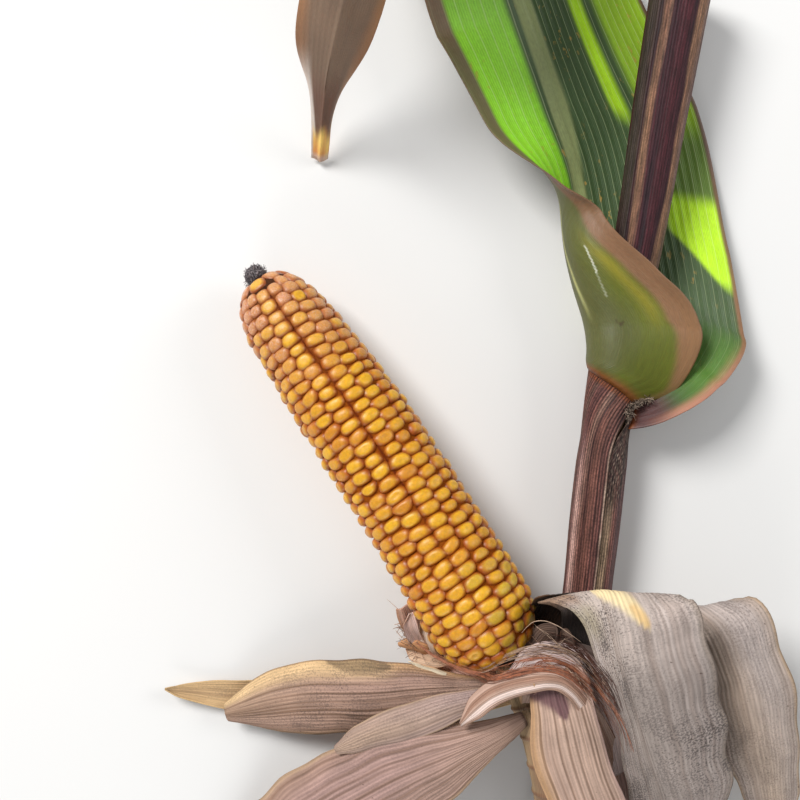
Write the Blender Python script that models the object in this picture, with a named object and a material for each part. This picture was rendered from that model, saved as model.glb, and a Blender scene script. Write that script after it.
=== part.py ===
"""A cut length of ripe maize, lying on its side on level ground.

One ear stands off the stalk on its shank, with its dry husks peeled back. Above it the stalk
is wrapped in the sheath of one leaf, whose blade folds round the stalk, lies along the ground,
arches over and comes down again on its dry tip. Both ends of the stalk are cut flat.

+Z is up, and +Y runs along the stalk from its foot to its top. The origin is the middle of
the whole cutting's footprint, on the ground. Sizes below are in millimetres.
"""

import math

import bmesh
import bpy
import numpy as np

MM = 0.001
CLEAR = 0.3  # the gap that two touching pieces keep
LINE_STEPS = 400  # how finely a smooth line is measured
TURN_STEPS = 24  # how finely a blade's cross-section is worked out
FOOTPRINT_MIDDLE = (33.26, -2.19)  # where the footprint's middle lies, as laid out below

# The ear: from the middle of its butt to the middle of its tip, and its radius over the
# kernels' crowns as (share of its length, radius)
EAR_BUTT = (42, -102, 34)
EAR_TIP = (-58, 49, 16.2)
EAR_BOW = 2.2  # how far the ear's middle stands to the right of a straight line
EAR_RADII = [
    (0, 10.2), (0.012, 14.2), (0.035, 17.8), (0.065, 20.6), (0.12, 22.6), (0.2, 22.5),
    (0.3, 22), (0.45, 21.9), (0.57, 21.6), (0.7, 20.7), (0.78, 19.7), (0.86, 18.6),
    (0.93, 16.4), (0.965, 13.4), (0.985, 10.2), (1, 6.4),
]
EAR_ROWS = 16
KERNELS_IN_A_ROW = 34
ROW_GROOVE = 2.6  # how deep the groove between two rows is
KERNEL_GROOVE = 1.3  # how deep the dip between two kernels of a row is
KERNEL_FLAT = 0.56  # share of a kernel's width that is its flat crown
ROW_STAGGER = 0.22  # how far a pair of rows is set off along the ear, in kernels
EAR_TURN = math.radians(-6.5)  # turns the rows, so that an open groove faces up

# The stalk: the line of its middle from the foot to the top, and its radius as
# (Y on that line, radius)
STALK_LINE = [
    (60, -223, 10.4),
    (64, -187, 11.2),
    (72.5, -124, 12.6),
    (77.4, -79, 13.7),
    (83.7, -21, 14.8),
    (87.9, 12, 15.5),
    (91.6, 31, 16.3),
    (96.9, 60, 17.9),
    (106.6, 123, 21.6),
    (115.2, 174, 23.6),
]
STALK_RADII = [
    (-223, 10.4), (-187, 10.1), (-124, 9.1), (-79, 8.7), (-50, 9.3), (-28, 9.1), (-14, 8.2),
    (31, 8), (60, 8.1), (174, 8.6),
]
STALK_SIDES = 18
STALK_RINGS = 24
RINGS_AT_A_NODE = (-8, -4, 0, 4, 8)  # more rings, this far from each node
NODE_HEIGHTS = [-181, -127, 27]  # Y of the three joints of the stalk
NODE_SWELLING = 1.2
NODE_HALF_LENGTH = 5
CLOSE_RINGS = 3  # an even ring this near to a node's own rings is left out

# The sheath of the leaf, from its node up to the collar, and the sheath above it
SHEATH_THICKNESS = 0.9
SHEATH_GAP = 0.45  # the room between the sheath and the stalk
SHEATH_SWELL = 1.3  # how far the sheath stands off the stalk at the collar
SHEATH_SWELL_LENGTH = 40
COLLAR_HEIGHT = 15  # Y of the collar at the back, where the midrib starts
COLLAR_DROP_OVER_TOP = 16  # how much lower the collar is at the seam than at the back
COLLAR_DROP_UNDER = 26  # the same for the short side, under the stalk
COLLAR_SLOPE_POWER = 1.5
COLLAR_SLOPE_LENGTH = 90  # how far down the sheath its rows follow the collar's slope
SEAM_AT_COLLAR = 60  # degrees from straight up, towards +X
SEAM_BELOW = 8
SEAM_TURNS_OVER = 32  # the length over which the seam winds from one to the other
SEAM_HALF_GAP = 4
SHEATH_ROWS = 13
SHEATH_COLUMNS = (10, 12)  # under the stalk and over it
UPPER_SHEATH_THICKNESS = 1.5
UPPER_SHEATH_FLARE = 2.6  # how much wider than the stalk the upper sheath gets at the top
UPPER_SEAM = -150
UPPER_SHEATH_ROWS = 8
UPPER_SHEATH_COLUMNS = (16, 2)

# The leaf: the line of its midrib, and its two halves at a few distances along it, each as
# (distance, half width, angle where it leaves the midrib, angle at its margin,
# share of the width in which it turns, how far the margin drops back towards the collar)
MIDRIB_LINE = [
    (88.3, 15, 6),
    (89.1, 20, 5.6),
    (88.6, 31, 3.6),
    (86, 47, 2),
    (81.4, 72, 1.4),
    (75, 102, 1.6),
    (66, 127, 3),
    (53, 164, 6),
    (37, 203, 16),
    (22, 219, 42),
    (9, 209, 75),
    (-2, 186, 96),
    (-12, 161, 92),
    (-22, 141, 64),
    (-30, 121, 30),
    (-34, 101, 3),
]
LEAF_LEFT = [
    (0, 39.8, 0, 240, 1.0, 16),
    (4, 65, 0, 205, 0.66, 13),
    (12, 73, 0, 192, 0.58, 6),
    (38, 63, 0, 188, 0.78, 3),
    (62, 43, 2, 176, 1.0, 2),
    (80, 38, 20, 112, 1.0, 4),
    (112, 45, 25, 52, 1.0, 0),
    (150, 46, 20, 40, 1.0, 0),
    (205, 44, 18, 30, 1.0, 0),
    (280, 34, 20, 30, 1.0, 0),
    (340, 23, 20, 30, 1.0, 0),
    (400, 12, 25, 45, 1.0, 0),
    (430, 6, 40, 75, 1.0, 0),
    (470, 3.4, 40, 85, 1.0, 0),
]
LEAF_RIGHT = [
    (0, 19.9, 0, 120, 1.0, 26),
    (12, 40, 4, 50, 1.0, 30),
    (30, 53, 0, 28, 1.0, 31),
    (60, 54, 0, 14, 1.0, 22),
    (100, 54, 0, 6, 1.0, 10),
    (112, 52, 0, 6, 1.0, 5),
    (150, 45, 2, 10, 1.0, 0),
    (205, 42, 12, 26, 1.0, 0),
    (280, 34, 20, 30, 1.0, 0),
    (340, 23, 20, 30, 1.0, 0),
    (400, 12, 25, 45, 1.0, 0),
    (430, 6, 40, 75, 1.0, 0),
    (470, 3.4, 40, 85, 1.0, 0),
]
LEAF_SIDE = (1, 0, 0)
LEAF_THICKNESS = 1.8
LEAF_TIP_THICKNESS = 1.6
LEAF_CUTS = [0, 132, 232, 322, 1000]  # where the blade is split, up its arch
LEAF_CUT_GAP = 0.9
LEAF_NAMES = ["leaf_base", "leaf_blade_rise", "leaf_blade_arch", "leaf_blade_tip"]
LEAF_ROWS = [17, 9, 9, 11]
LEAF_COLUMNS = [(10, 7), (4, 4), (4, 4), (3, 3)]  # of the left half and the right one
LEAF_BASE_CROWDING = 1.4  # above 1, the first rows lie closer together

# The shank that carries the ear: from the stalk's lower joint to the ear's butt
SHANK_LINE = [
    (63.5, -181, 22.4),
    (61, -167, 28.5),
    (58, -149, 34),
    (53.5, -130, 36.2),
    (48, -114, 35.6),
    (42.8, -103.1, 34.2),
]
SHANK_RADIUS = 6.4
SHANK_RINGS = 22
SHANK_SIDES = 14
SHANK_NODES = 7
SHANK_NODE_RISE = 0.06  # how far each joint stands out, as a share of the radius

# The husks: the line of each, the side that its cross-section runs along, its two half
# widths as (share of the length, against the side, along the side), and the angles at its
# middle and its margins
HUSKS = {
    "husk_left": (
        [(41.1, -111.7, 41.2), (33, -111, 44.5), (16, -114, 38), (-12, -120, 27), (-41, -123, 18),
         (-73, -131, 9)],
        (0, 1, 0),
        [(0, 5, 3), (0.12, 13, 5), (0.4, 17, 14), (0.65, 17, 17), (0.88, 11, 11), (1, 4, 4)],
        (-4, -34),
    ),
    "husk_front": (
        [(48.4, -123, 44), (40, -127, 47.5), (22, -136, 47), (-4, -150, 40), (-34, -172, 27),
         (-60, -196, 14), (-80, -217, 4)],
        (-0.5, 0.85, 0),
        [(0, 3, 3), (0.12, 9, 9), (0.35, 22, 22), (0.6, 24, 24), (0.85, 16, 16), (1, 4, 4)],
        (0, -34),
    ),
    "husk_fold": (
        [(49.4, -117, 43.4), (50.5, -112, 48.4), (53.5, -105.8, 52.6), (56.5, -104.4, 56),
         (60, -114, 57.5), (66, -137, 53), (75, -163, 45), (83, -189, 28), (88, -216, 2.6)],
        (1, 0, 0),
        [(0, 3, 3), (0.06, 12, 8), (0.13, 23, 12), (0.3, 20, 13), (0.6, 13, 14), (0.88, 9, 9),
         (1, 4, 4)],
        (4, 30),
    ),
    "husk_inner": (
        [(47.4, -109.6, 43.5), (54, -106.8, 46.4), (64, -107.5, 46.4), (76, -118.5, 43.8),
         (86, -138, 34), (94, -165, 22), (101, -200, 4)],
        (-0.5, -0.85, 0),
        [(0, 3, 3), (0.05, 5, 3), (0.1, 12, 4), (0.18, 16, 8), (0.4, 16, 13), (0.7, 15, 15),
         (0.9, 9, 9), (1, 3, 3)],
        (0, -20),
    ),
    "husk_right": (
        [(61.1, -124.3, 36), (67.5, -115, 34), (71, -99, 34), (73.5, -83, 42),
         (75, -73, 54), (76.5, -70.5, 64), (78, -78, 69.5), (82, -95, 67), (90, -119, 58),
         (102, -150, 43), (115, -182, 24), (128, -211, 3)],
        (1, 0, 0),
        [(0, 3, 3), (0.08, 7, 7), (0.2, 12, 14), (0.27, 24, 18), (0.3, 18, 25), (0.35, 12, 32),
         (0.5, 9, 33), (0.7, 14, 27), (0.9, 12, 13), (1, 4, 4)],
        (4, 22),
    ),
    "husk_right_back": (
        [(61.2, -135.5, 31.6), (76, -129, 27), (91, -118, 23), (105, -104, 23), (114, -90, 29),
         (118, -80.5, 39), (124.3, -84, 45), (135, -104, 41), (148, -143, 25), (159, -181, 3)],
        (1, 0, 0),
        [(0, 3, 3), (0.12, 7, 7), (0.3, 12, 12), (0.45, 16, 16), (0.7, 18, 16), (0.92, 11, 11),
         (1, 4, 4)],
        (4, 24),
    ),
    "husk_left_back": (
        [(44.3, -118, 30.7), (32, -123, 15), (14, -126, 5), (-25, -126, 2.4), (-64, -124.5, 2.2),
         (-99, -122, 2)],
        (0, 1, 0),
        [(0, 3, 3), (0.15, 6, 6), (0.4, 9, 7), (0.7, 9, 7), (0.9, 6, 5), (1, 3, 3)],
        (0, 12),
    ),
    "husk_shred": (
        [(41.3, -109.3, 28.9), (28, -114, 14), (17, -107, 9), (9, -96, 13), (3, -84, 21)],
        (0.6, 0.8, 0),
        [(0, 2.5, 2.5), (0.3, 6, 7), (0.6, 7, 9), (0.85, 5, 6), (1, 2.5, 2.5)],
        (0, 30),
    ),
}
HUSK_THICKNESS = 1.9
HUSK_ROWS = 15
HUSK_HALF_COLUMNS = 4

# The dry silk on the ear's tip
SILK_LENGTH = 8
SILK_RADIUS = 6
SILK_RINGS = 7
SILK_SIDES = 10
SILK_TAPER = 0.72
SILK_LIFT = 1.4  # how far its end bends up

COLOURS = {
    "kernels": ((0.80, 0.42, 0.06), 0.35),
    "silk": ((0.10, 0.08, 0.08), 0.9),
    "stalk": ((0.36, 0.27, 0.16), 0.6),
    "sheath": ((0.23, 0.12, 0.10), 0.55),
    "leaf": ((0.16, 0.30, 0.05), 0.5),
    "dry_leaf": ((0.42, 0.33, 0.22), 0.7),
    "husk": ((0.60, 0.50, 0.40), 0.7),
}


def clear_scene():
    for old in list(bpy.data.objects):
        bpy.data.objects.remove(old, do_unlink=True)


def material(name):
    found = bpy.data.materials.get(name)
    if found:
        return found
    colour, roughness = COLOURS[name]
    made = bpy.data.materials.new(name)
    made.use_nodes = True
    shader = made.node_tree.nodes["Principled BSDF"]
    shader.inputs["Base Color"].default_value = (*colour, 1)
    shader.inputs["Roughness"].default_value = roughness
    shader.inputs["Metallic"].default_value = 0
    return made


def unit(vectors):
    """Each vector at length 1."""
    vectors = np.asarray(vectors, float)
    return vectors / np.linalg.norm(vectors, axis=-1, keepdims=True)


def curve_values(at, knots, values, slopes):
    """A cubic curve through (knot, value) with the given slope at each, read at some places."""
    at = np.clip(at, knots[0], knots[-1])
    index = np.clip(np.searchsorted(knots, at, side="right") - 1, 0, len(knots) - 2)
    span = knots[index + 1] - knots[index]
    t = (at - knots[index]) / span
    if values.ndim > 1:
        t, span = t[:, None], span[:, None]
    rise = values[index + 1] - values[index]
    bend = t * t * (3 - 2 * t)
    leave = slopes[index] * span * t * (1 - t) ** 2
    arrive = slopes[index + 1] * span * t * t * (1 - t)
    return values[index] + rise * bend + leave - arrive


def smooth_values(at, knots, values):
    """A smooth curve through points, which may swing a little past them."""
    knots, values = np.asarray(knots, float), np.asarray(values, float)
    return curve_values(at, knots, values, np.gradient(values, knots, axis=0))


def eased_values(at, table):
    """Smooth curves through the columns of a table, which never pass its highs and lows.

    The first column holds the places. A column's slope at each is the harmonic mean of the
    slopes beside it, and nothing where they differ in sign.
    """
    table = np.asarray(table, float)
    knots, values = table[:, 0], table[:, 1:]
    steps = np.diff(values, axis=0) / np.diff(knots)[:, None]
    before, after = steps[:-1], steps[1:]
    same = before * after > 0
    total = np.where(same, before + after, 1)
    inner = np.where(same, 2 * before * after / total, 0)
    slopes = np.concatenate([steps[:1], inner, steps[-1:]])
    return list(curve_values(np.asarray(at, float), knots, values, slopes).T)


def distances(points):
    """How far along a line each of its points lies."""
    steps = np.linalg.norm(np.diff(points, axis=0), axis=1)
    return np.concatenate([[0], np.cumsum(steps)])


def smooth_line(points):
    """A function that gives the place at any distance along a smooth line, and its length."""
    points = np.asarray(points, float)
    rough = distances(points)
    fine = smooth_values(np.linspace(0, rough[-1], LINE_STEPS), rough, points)
    along = distances(fine)

    def place(at):
        at = np.asarray(at, float)
        return np.stack([np.interp(at, along, fine[:, k]) for k in range(3)], axis=-1)

    return place, along[-1]


def directions(place, at):
    """The unit direction of a smooth line at each distance along it."""
    return unit(place(at + 0.5) - place(at - 0.5))


def new_object(name, points, faces, material_name):
    mesh = bpy.data.meshes.new(name)
    places = np.asarray(points, float) - (*FOOTPRINT_MIDDLE, 0)
    mesh.from_pydata((places * MM).tolist(), [], faces)
    mesh.validate()
    mesh.shade_smooth()
    mesh.set_sharp_from_angle(angle=math.radians(50))
    mesh.materials.append(material(material_name))
    made = bpy.data.objects.new(name, mesh)
    bpy.context.scene.collection.objects.link(made)
    return made


def grid_faces(rows, columns, wraps=False):
    """Quads over a grid of points that is stored row after row."""
    last = columns if wraps else columns - 1
    return [
        (
            row * columns + column,
            row * columns + (column + 1) % columns,
            (row + 1) * columns + (column + 1) % columns,
            (row + 1) * columns + column,
        )
        for row in range(rows - 1)
        for column in range(last)
    ]


def outward(made):
    """Turns every face of a closed mesh outwards."""
    shape = bmesh.new()
    shape.from_mesh(made.data)
    bmesh.ops.recalc_face_normals(shape, faces=shape.faces)
    shape.to_mesh(made.data)
    shape.free()


def closed_tube(name, rings, material_name):
    """A solid from rings of points, with a flat face at each end."""
    rings = np.asarray(rings)
    count, sides = rings.shape[:2]
    faces = grid_faces(count, sides, wraps=True)
    faces.append(tuple(range(sides)))
    faces.append(tuple((count - 1) * sides + side for side in range(sides)))
    made = new_object(name, rings.reshape(-1, 3), faces, material_name)
    outward(made)
    return made


def sheet(name, grid, thickness, material_name):
    """A thin solid on both sides of a grid of points, by Blender's Solidify."""
    rows, columns = grid.shape[:2]
    faces = grid_faces(rows, columns)
    made = new_object(name, grid.reshape(-1, 3), faces, material_name)
    wall = made.modifiers.new("wall", "SOLIDIFY")
    wall.thickness = thickness * MM
    wall.offset = 0
    return made


def line_frames(place, at, side_hint):
    """Middle, direction, side and upper normal of a blade at each distance along it."""
    middle = place(at)
    along = directions(place, at)
    hint = np.asarray(side_hint, float)
    side = unit(hint - (along @ hint)[:, None] * along)
    return middle, along, side, np.cross(side, along)


def half_blade(frames, values, sign, columns):
    """One half of a blade, as rows of points from the midrib to the margin.

    Each row walks out from the midrib: its direction starts at one angle above the blade's
    plane and turns evenly to another, and its far end slips back along the blade.
    """
    middle, along, side, normal = frames
    width, start, end, turned_by, drop = (v[:, None] for v in values)
    share = (np.arange(TURN_STEPS) + 0.5) / TURN_STEPS
    angle = np.radians(start + (end - start) * np.minimum(share / turned_by, 1))
    out = np.cumsum(np.cos(angle), axis=1) / TURN_STEPS
    lift = np.cumsum(np.sin(angle), axis=1) / TURN_STEPS
    out = np.concatenate([np.zeros_like(width), out], axis=1) * width
    lift = np.concatenate([np.zeros_like(width), lift], axis=1) * width
    back = drop * np.linspace(0, 1, TURN_STEPS + 1) ** COLLAR_SLOPE_POWER
    picks = np.round(np.linspace(0, TURN_STEPS, columns + 1)).astype(int)
    out, lift, back = out[:, picks, None], lift[:, picks, None], back[:, picks, None]
    return (
        middle[:, None]
        + sign * out * side[:, None]
        + lift * normal[:, None]
        - back * along[:, None]
    )


def both_halves(frames, left_values, right_values, left_columns, right_columns):
    """A whole blade's grid, from its left margin over the midrib to its right one."""
    left = half_blade(frames, left_values, -1, left_columns)
    right = half_blade(frames, right_values, 1, right_columns)
    return np.concatenate([left[:, ::-1], right[:, 1:]], axis=1)


def make_leaf():
    """The leaf: one bent blade, split where it rises, where it arches and where it drops."""
    place, length = smooth_line(MIDRIB_LINE)
    for k, name in enumerate(LEAF_NAMES):
        start = LEAF_CUTS[k] + LEAF_CUT_GAP / 2
        end = min(LEAF_CUTS[k + 1], length) - LEAF_CUT_GAP / 2
        crowding = LEAF_BASE_CROWDING if k == 0 else 1
        at = start + (end - start) * np.linspace(0, 1, LEAF_ROWS[k]) ** crowding
        frames = line_frames(place, at, LEAF_SIDE)
        halves = eased_values(at, LEAF_LEFT), eased_values(at, LEAF_RIGHT)
        grid = both_halves(frames, *halves, *LEAF_COLUMNS[k])
        is_tip = name == LEAF_NAMES[-1]
        thickness = LEAF_TIP_THICKNESS if is_tip else LEAF_THICKNESS
        sheet(name, grid, thickness, "dry_leaf" if is_tip else "leaf")


def make_husks():
    """The husks: tapering blades that start on the shank and bend over it."""
    for name, (line, side, widths, (middle_angle, margin_angle)) in HUSKS.items():
        place, length = smooth_line(line)
        share = np.linspace(0, 1, HUSK_ROWS)
        frames = line_frames(place, share * length, side)
        even = np.ones(HUSK_ROWS)
        bend = [even * middle_angle, even * margin_angle, even, even * 0]
        halves = [[half, *bend] for half in eased_values(share, widths)]
        grid = both_halves(frames, *halves, HUSK_HALF_COLUMNS, HUSK_HALF_COLUMNS)
        sheet(name, grid, HUSK_THICKNESS, "husk")


def stalk_radius(at, place):
    """The bare stalk's radius: its taper, with a swelling at each node."""
    height = place(at)[..., 1]
    (radius,) = eased_values(height, STALK_RADII)
    for node in NODE_HEIGHTS:
        radius = radius + NODE_SWELLING * np.exp(-(((height - node) / NODE_HALF_LENGTH) ** 2))
    return radius


def round_rings(place, at, radius, sides):
    """Rings of points square to a line. The first point of each faces straight up."""
    along = directions(place, at)
    side = unit(np.cross(along, (0, 0, 1)))
    up = np.cross(side, along)
    turn = np.linspace(0, 2 * math.pi, sides, endpoint=False)
    turn = turn[None, :, None]
    around = np.cos(turn) * up[:, None] + np.sin(turn) * side[:, None]
    return place(at)[:, None] + radius[:, None, None] * around


def height_to_distance(place, length, height):
    """How far along a line it reaches a Y."""
    at = np.linspace(0, length, LINE_STEPS)
    return float(np.interp(height, place(at)[:, 1], at))


def stalk_rings(place, length):
    """Where the stalk's rings of points lie: evenly along it, and closer at its nodes."""
    nodes = [height_to_distance(place, length, height) for height in NODE_HEIGHTS]
    close = np.add.outer(nodes, RINGS_AT_A_NODE).ravel()
    even = np.linspace(0, length, STALK_RINGS)
    far = np.abs(even[:, None] - close).min(axis=1) > CLOSE_RINGS
    return np.sort(np.concatenate([even[far], close]))


def make_stalk():
    place, length = smooth_line(STALK_LINE)
    at = stalk_rings(place, length)
    closed_tube("stalk", round_rings(place, at, stalk_radius(at, place), STALK_SIDES), "stalk")
    return place, length


def wrapped_sheet(name, place, rows_at, gaps, thickness, seams, drops, columns):
    """A sheath: a sheet round the stalk from one side of its seam to the other.

    rows_at are distances along the stalk, gaps the room under the sheath and seams the seam's
    angle at each, and drops how far a row reaches down at the seam on either side.
    """
    grid = []
    for row, middle in enumerate(rows_at):
        seam = seams[row]
        under = np.linspace(1, 0, columns[0] + 1) * (180 - seam - SEAM_HALF_GAP)
        over = np.linspace(0, 1, columns[1] + 1)[1:] * (180 + seam - SEAM_HALF_GAP)
        share = np.concatenate([np.linspace(1, 0, columns[0] + 1), over / over[-1]])
        drop = np.concatenate([0 * under + drops[0][row], 0 * over + drops[1][row]])
        at = middle - drop * share**COLLAR_SLOPE_POWER
        along = directions(place, at)
        side = unit(np.cross(along, (0, 0, 1)))
        up = np.cross(side, along)
        angle = np.radians(np.concatenate([180 - under, 180 + over]))[:, None]
        around = np.cos(angle) * up + np.sin(angle) * side
        radius = stalk_radius(at, place) + gaps[row] + thickness / 2
        grid.append(place(at) + radius[:, None] * around)
    return sheet(name, np.array(grid), thickness, "sheath")


def make_sheaths(place, length):
    collar = height_to_distance(place, length, COLLAR_HEIGHT) - 2 * CLEAR
    foot = height_to_distance(place, length, NODE_HEIGHTS[1]) + 2
    rows_at = np.linspace(foot, collar, SHEATH_ROWS)
    below_collar = collar - rows_at
    wound = np.clip(below_collar / SEAM_TURNS_OVER, 0, 1)
    seams = SEAM_AT_COLLAR + (SEAM_BELOW - SEAM_AT_COLLAR) * wound * (2 - wound)
    fade = np.clip(1 - below_collar / COLLAR_SLOPE_LENGTH, 0, 1)
    drops = COLLAR_DROP_UNDER * fade, COLLAR_DROP_OVER_TOP * fade
    gaps = SHEATH_GAP + SHEATH_SWELL * np.clip(1 - below_collar / SHEATH_SWELL_LENGTH, 0, 1)
    wrapped_sheet(
        "leaf_sheath", place, rows_at, gaps, SHEATH_THICKNESS, seams, drops, SHEATH_COLUMNS
    )
    node = height_to_distance(place, length, NODE_HEIGHTS[2]) + NODE_HALF_LENGTH
    rows_at = np.linspace(node, length, UPPER_SHEATH_ROWS)
    share = np.linspace(0, 1, UPPER_SHEATH_ROWS)
    level = np.zeros(UPPER_SHEATH_ROWS)
    wrapped_sheet(
        "upper_sheath",
        place,
        rows_at,
        CLEAR + UPPER_SHEATH_FLARE * share,
        UPPER_SHEATH_THICKNESS,
        level + UPPER_SEAM,
        (level, level),
        UPPER_SHEATH_COLUMNS,
    )


def make_shank():
    """The shank: a short stalk of close joints, cut to lie against the stalk."""
    place, length = smooth_line(SHANK_LINE)
    at = np.linspace(0, length, SHANK_RINGS)
    beat = np.cos(2 * math.pi * SHANK_NODES * at / length)
    radius = SHANK_RADIUS * (1 + SHANK_NODE_RISE * np.maximum(beat, 0))
    shank = closed_tube("shank", round_rings(place, at, radius, SHANK_SIDES), "stalk")
    stalk_place, stalk_length = smooth_line(STALK_LINE)
    at = stalk_rings(stalk_place, stalk_length)
    radius = stalk_radius(at, stalk_place) + CLEAR
    cutter = closed_tube(
        "room_for_stalk", round_rings(stalk_place, at, radius, STALK_SIDES), "stalk"
    )
    cutter.hide_render = True
    cutter.display_type = "WIRE"
    cut = shank.modifiers.new("seat", "BOOLEAN")
    cut.operation = "DIFFERENCE"
    cut.object = cutter


def row_stagger(row):
    """How far a row is set off along the ear, in kernels: rows go in pairs."""
    return ROW_STAGGER if (row // 2) % 2 else -ROW_STAGGER


def ear_frame():
    butt, tip = np.array(EAR_BUTT, float), np.array(EAR_TIP, float)
    axis = unit(tip - butt)
    side = unit(np.cross(axis, (0, 0, 1)))
    return butt, tip - butt, side, np.cross(side, axis)


def make_ear():
    """The ear: sixteen rows of kernels on one closed surface.

    Each row has a groove line and two lines along the edges of its kernels' crowns. Along a
    row, every second point is the dip between two kernels.
    """
    butt, axis, side, up = ear_frame()
    stations = np.arange(2 * KERNELS_IN_A_ROW + 1)
    is_dip = stations % 2 == 0
    fade = np.minimum(1, np.minimum(stations, stations[-1] - stations) / 4)
    largest = max(radius for _, radius in EAR_RADII)
    lines = []
    for row in range(EAR_ROWS):
        own = row_stagger(row)
        shared = (row_stagger((row - 1) % EAR_ROWS) + own) / 2
        half_crown = KERNEL_FLAT / 2
        for turned, stagger, depth in (
            (-0.5, shared, ROW_GROOVE),
            (-half_crown, own, 0),
            (half_crown, own, 0),
        ):
            share = (stations + 2 * stagger * fade) / stations[-1]
            sunk = depth if depth else np.where(is_dip, KERNEL_GROOVE, 0)
            (crown,) = eased_values(share, EAR_RADII)
            radius = crown - sunk * crown / largest
            angle = 2 * math.pi * (row + turned) / EAR_ROWS + EAR_TURN
            around = math.cos(angle) * up + math.sin(angle) * side
            bow = EAR_BOW * np.sin(math.pi * share)
            lines.append(
                butt
                + share[:, None] * axis
                + bow[:, None] * side
                + radius[:, None] * around
            )
    rings = np.array(lines).transpose(1, 0, 2)
    closed_tube("ear", rings, "kernels")


def make_silk():
    """The withered silk: a small crooked cone on the ear's tip."""
    _, axis, side, up = ear_frame()
    axis = unit(axis)
    share = np.linspace(0, 1, SILK_RINGS)
    start = EAR_TIP + axis * CLEAR
    middle = start + SILK_LENGTH * share[:, None] * axis + SILK_LIFT * (share**2)[:, None] * up
    radius = SILK_RADIUS * (1 - SILK_TAPER * share)
    turn = np.linspace(0, 2 * math.pi, SILK_SIDES, endpoint=False)
    around = np.cos(turn)[:, None] * up + np.sin(turn)[:, None] * side
    rings = middle[:, None] + radius[:, None, None] * around[None]
    closed_tube("silk_tuft", rings, "silk")


def main():
    clear_scene()
    place, length = make_stalk()
    make_sheaths(place, length)
    make_leaf()
    make_shank()
    make_ear()
    make_silk()
    make_husks()


main()
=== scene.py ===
# %% [markdown]
# # A cut length of ripe maize
# This lesson dresses a plain CAD model of a maize cutting: an ear on its shank, peeled husks,
# a leaf that folds round the stalk, and the sheaths. The CAD model gives every place and size.
# Each piece below is a surface worked out with numpy: a function of two parameters on a grid,
# or a profile carried along a line. Lengths are in millimetres until a mesh is made.

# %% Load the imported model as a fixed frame
import math

import bpy
import numpy as np
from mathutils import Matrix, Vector


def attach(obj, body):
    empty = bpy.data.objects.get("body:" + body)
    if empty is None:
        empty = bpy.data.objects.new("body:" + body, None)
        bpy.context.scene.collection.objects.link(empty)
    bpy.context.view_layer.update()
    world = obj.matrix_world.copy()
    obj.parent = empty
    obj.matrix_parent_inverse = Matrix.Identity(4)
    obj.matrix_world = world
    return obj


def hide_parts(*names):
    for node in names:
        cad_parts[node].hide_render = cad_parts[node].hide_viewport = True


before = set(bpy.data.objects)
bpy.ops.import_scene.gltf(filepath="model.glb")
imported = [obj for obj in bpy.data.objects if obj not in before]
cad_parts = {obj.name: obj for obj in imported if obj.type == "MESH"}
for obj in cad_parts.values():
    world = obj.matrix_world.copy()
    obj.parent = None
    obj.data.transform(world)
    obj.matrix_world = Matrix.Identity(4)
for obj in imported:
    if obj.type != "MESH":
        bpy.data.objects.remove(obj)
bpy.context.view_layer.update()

print("nodes:", sorted(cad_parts))

# %% [markdown]
# ## Camera, floor and light
# The photo looks square on at the ear, and the cutting lies on the ground, so the camera hangs
# straight above it. A large pale floor and three broad lamps give plain soft studio light. The
# same could be done with a lit dome, but broad lamps give the kernels their soft highlights.

# %% The places in millimetres become places in the model's frame
MM = 0.001
MIDDLE = np.array([33.26, -2.19, 0.0])  # the footprint's middle, as the lines below are laid out
CAMERA_HEIGHT = 473.2
LENS, SENSOR = 50.0, 36.0


def in_frame(points):
    """Millimetres as laid out here, to metres in the model's own frame."""
    return (np.asarray(points, float) - MIDDLE) * MM


def make_camera():
    """Straight above the middle of the view. It sees its height times sensor over lens."""
    data = bpy.data.cameras.new("camera")
    data.lens, data.sensor_width = LENS, SENSOR
    camera = bpy.data.objects.new("camera", data)
    camera.location = in_frame((0, 0, CAMERA_HEIGHT))
    bpy.context.scene.collection.objects.link(camera)
    bpy.context.scene.camera = camera
    print("camera at", tuple(round(c, 4) for c in camera.location))


make_camera()

# %% A pale floor and a pale surrounding light
FLOOR_HALF, FLOOR_BELOW = 4000.0, 0.1
WORLD_COLOUR, WORLD_STRENGTH = (0.93, 0.96, 1.0, 1), 0.34
FLOOR_COLOUR, FLOOR_ROUGHNESS = (0.78, 0.77, 0.75, 1), 0.8


def make_floor():
    """One large square under the cutting, a tenth of a millimetre below it."""
    corners = np.array([(-1, -1), (1, -1), (1, 1), (-1, 1)]) * FLOOR_HALF
    places = in_frame(np.c_[corners, np.full(4, -FLOOR_BELOW)])
    mesh = bpy.data.meshes.new("floor")
    mesh.from_pydata(places.tolist(), [], [(0, 1, 2, 3)])
    floor = bpy.data.objects.new("floor", mesh)
    bpy.context.scene.collection.objects.link(floor)
    finish = bpy.data.materials.new("pale_floor")
    finish.use_nodes = True
    shader = finish.node_tree.nodes["Principled BSDF"]
    shader.inputs["Base Color"].default_value = FLOOR_COLOUR
    shader.inputs["Roughness"].default_value = FLOOR_ROUGHNESS
    mesh.materials.append(finish)


def make_world():
    """The same faint light from all sides, a little cool."""
    world = bpy.data.worlds.new("studio")
    world.use_nodes = True
    back = world.node_tree.nodes["Background"]
    back.inputs["Color"].default_value = WORLD_COLOUR
    back.inputs["Strength"].default_value = WORLD_STRENGTH
    bpy.context.scene.world = world


make_floor()
make_world()
bpy.context.scene.view_settings.view_transform = "Standard"  # colours as painted, no film curve
print("floor:", 2 * FLOOR_HALF, "mm wide, light from all sides:", WORLD_STRENGTH)

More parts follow.
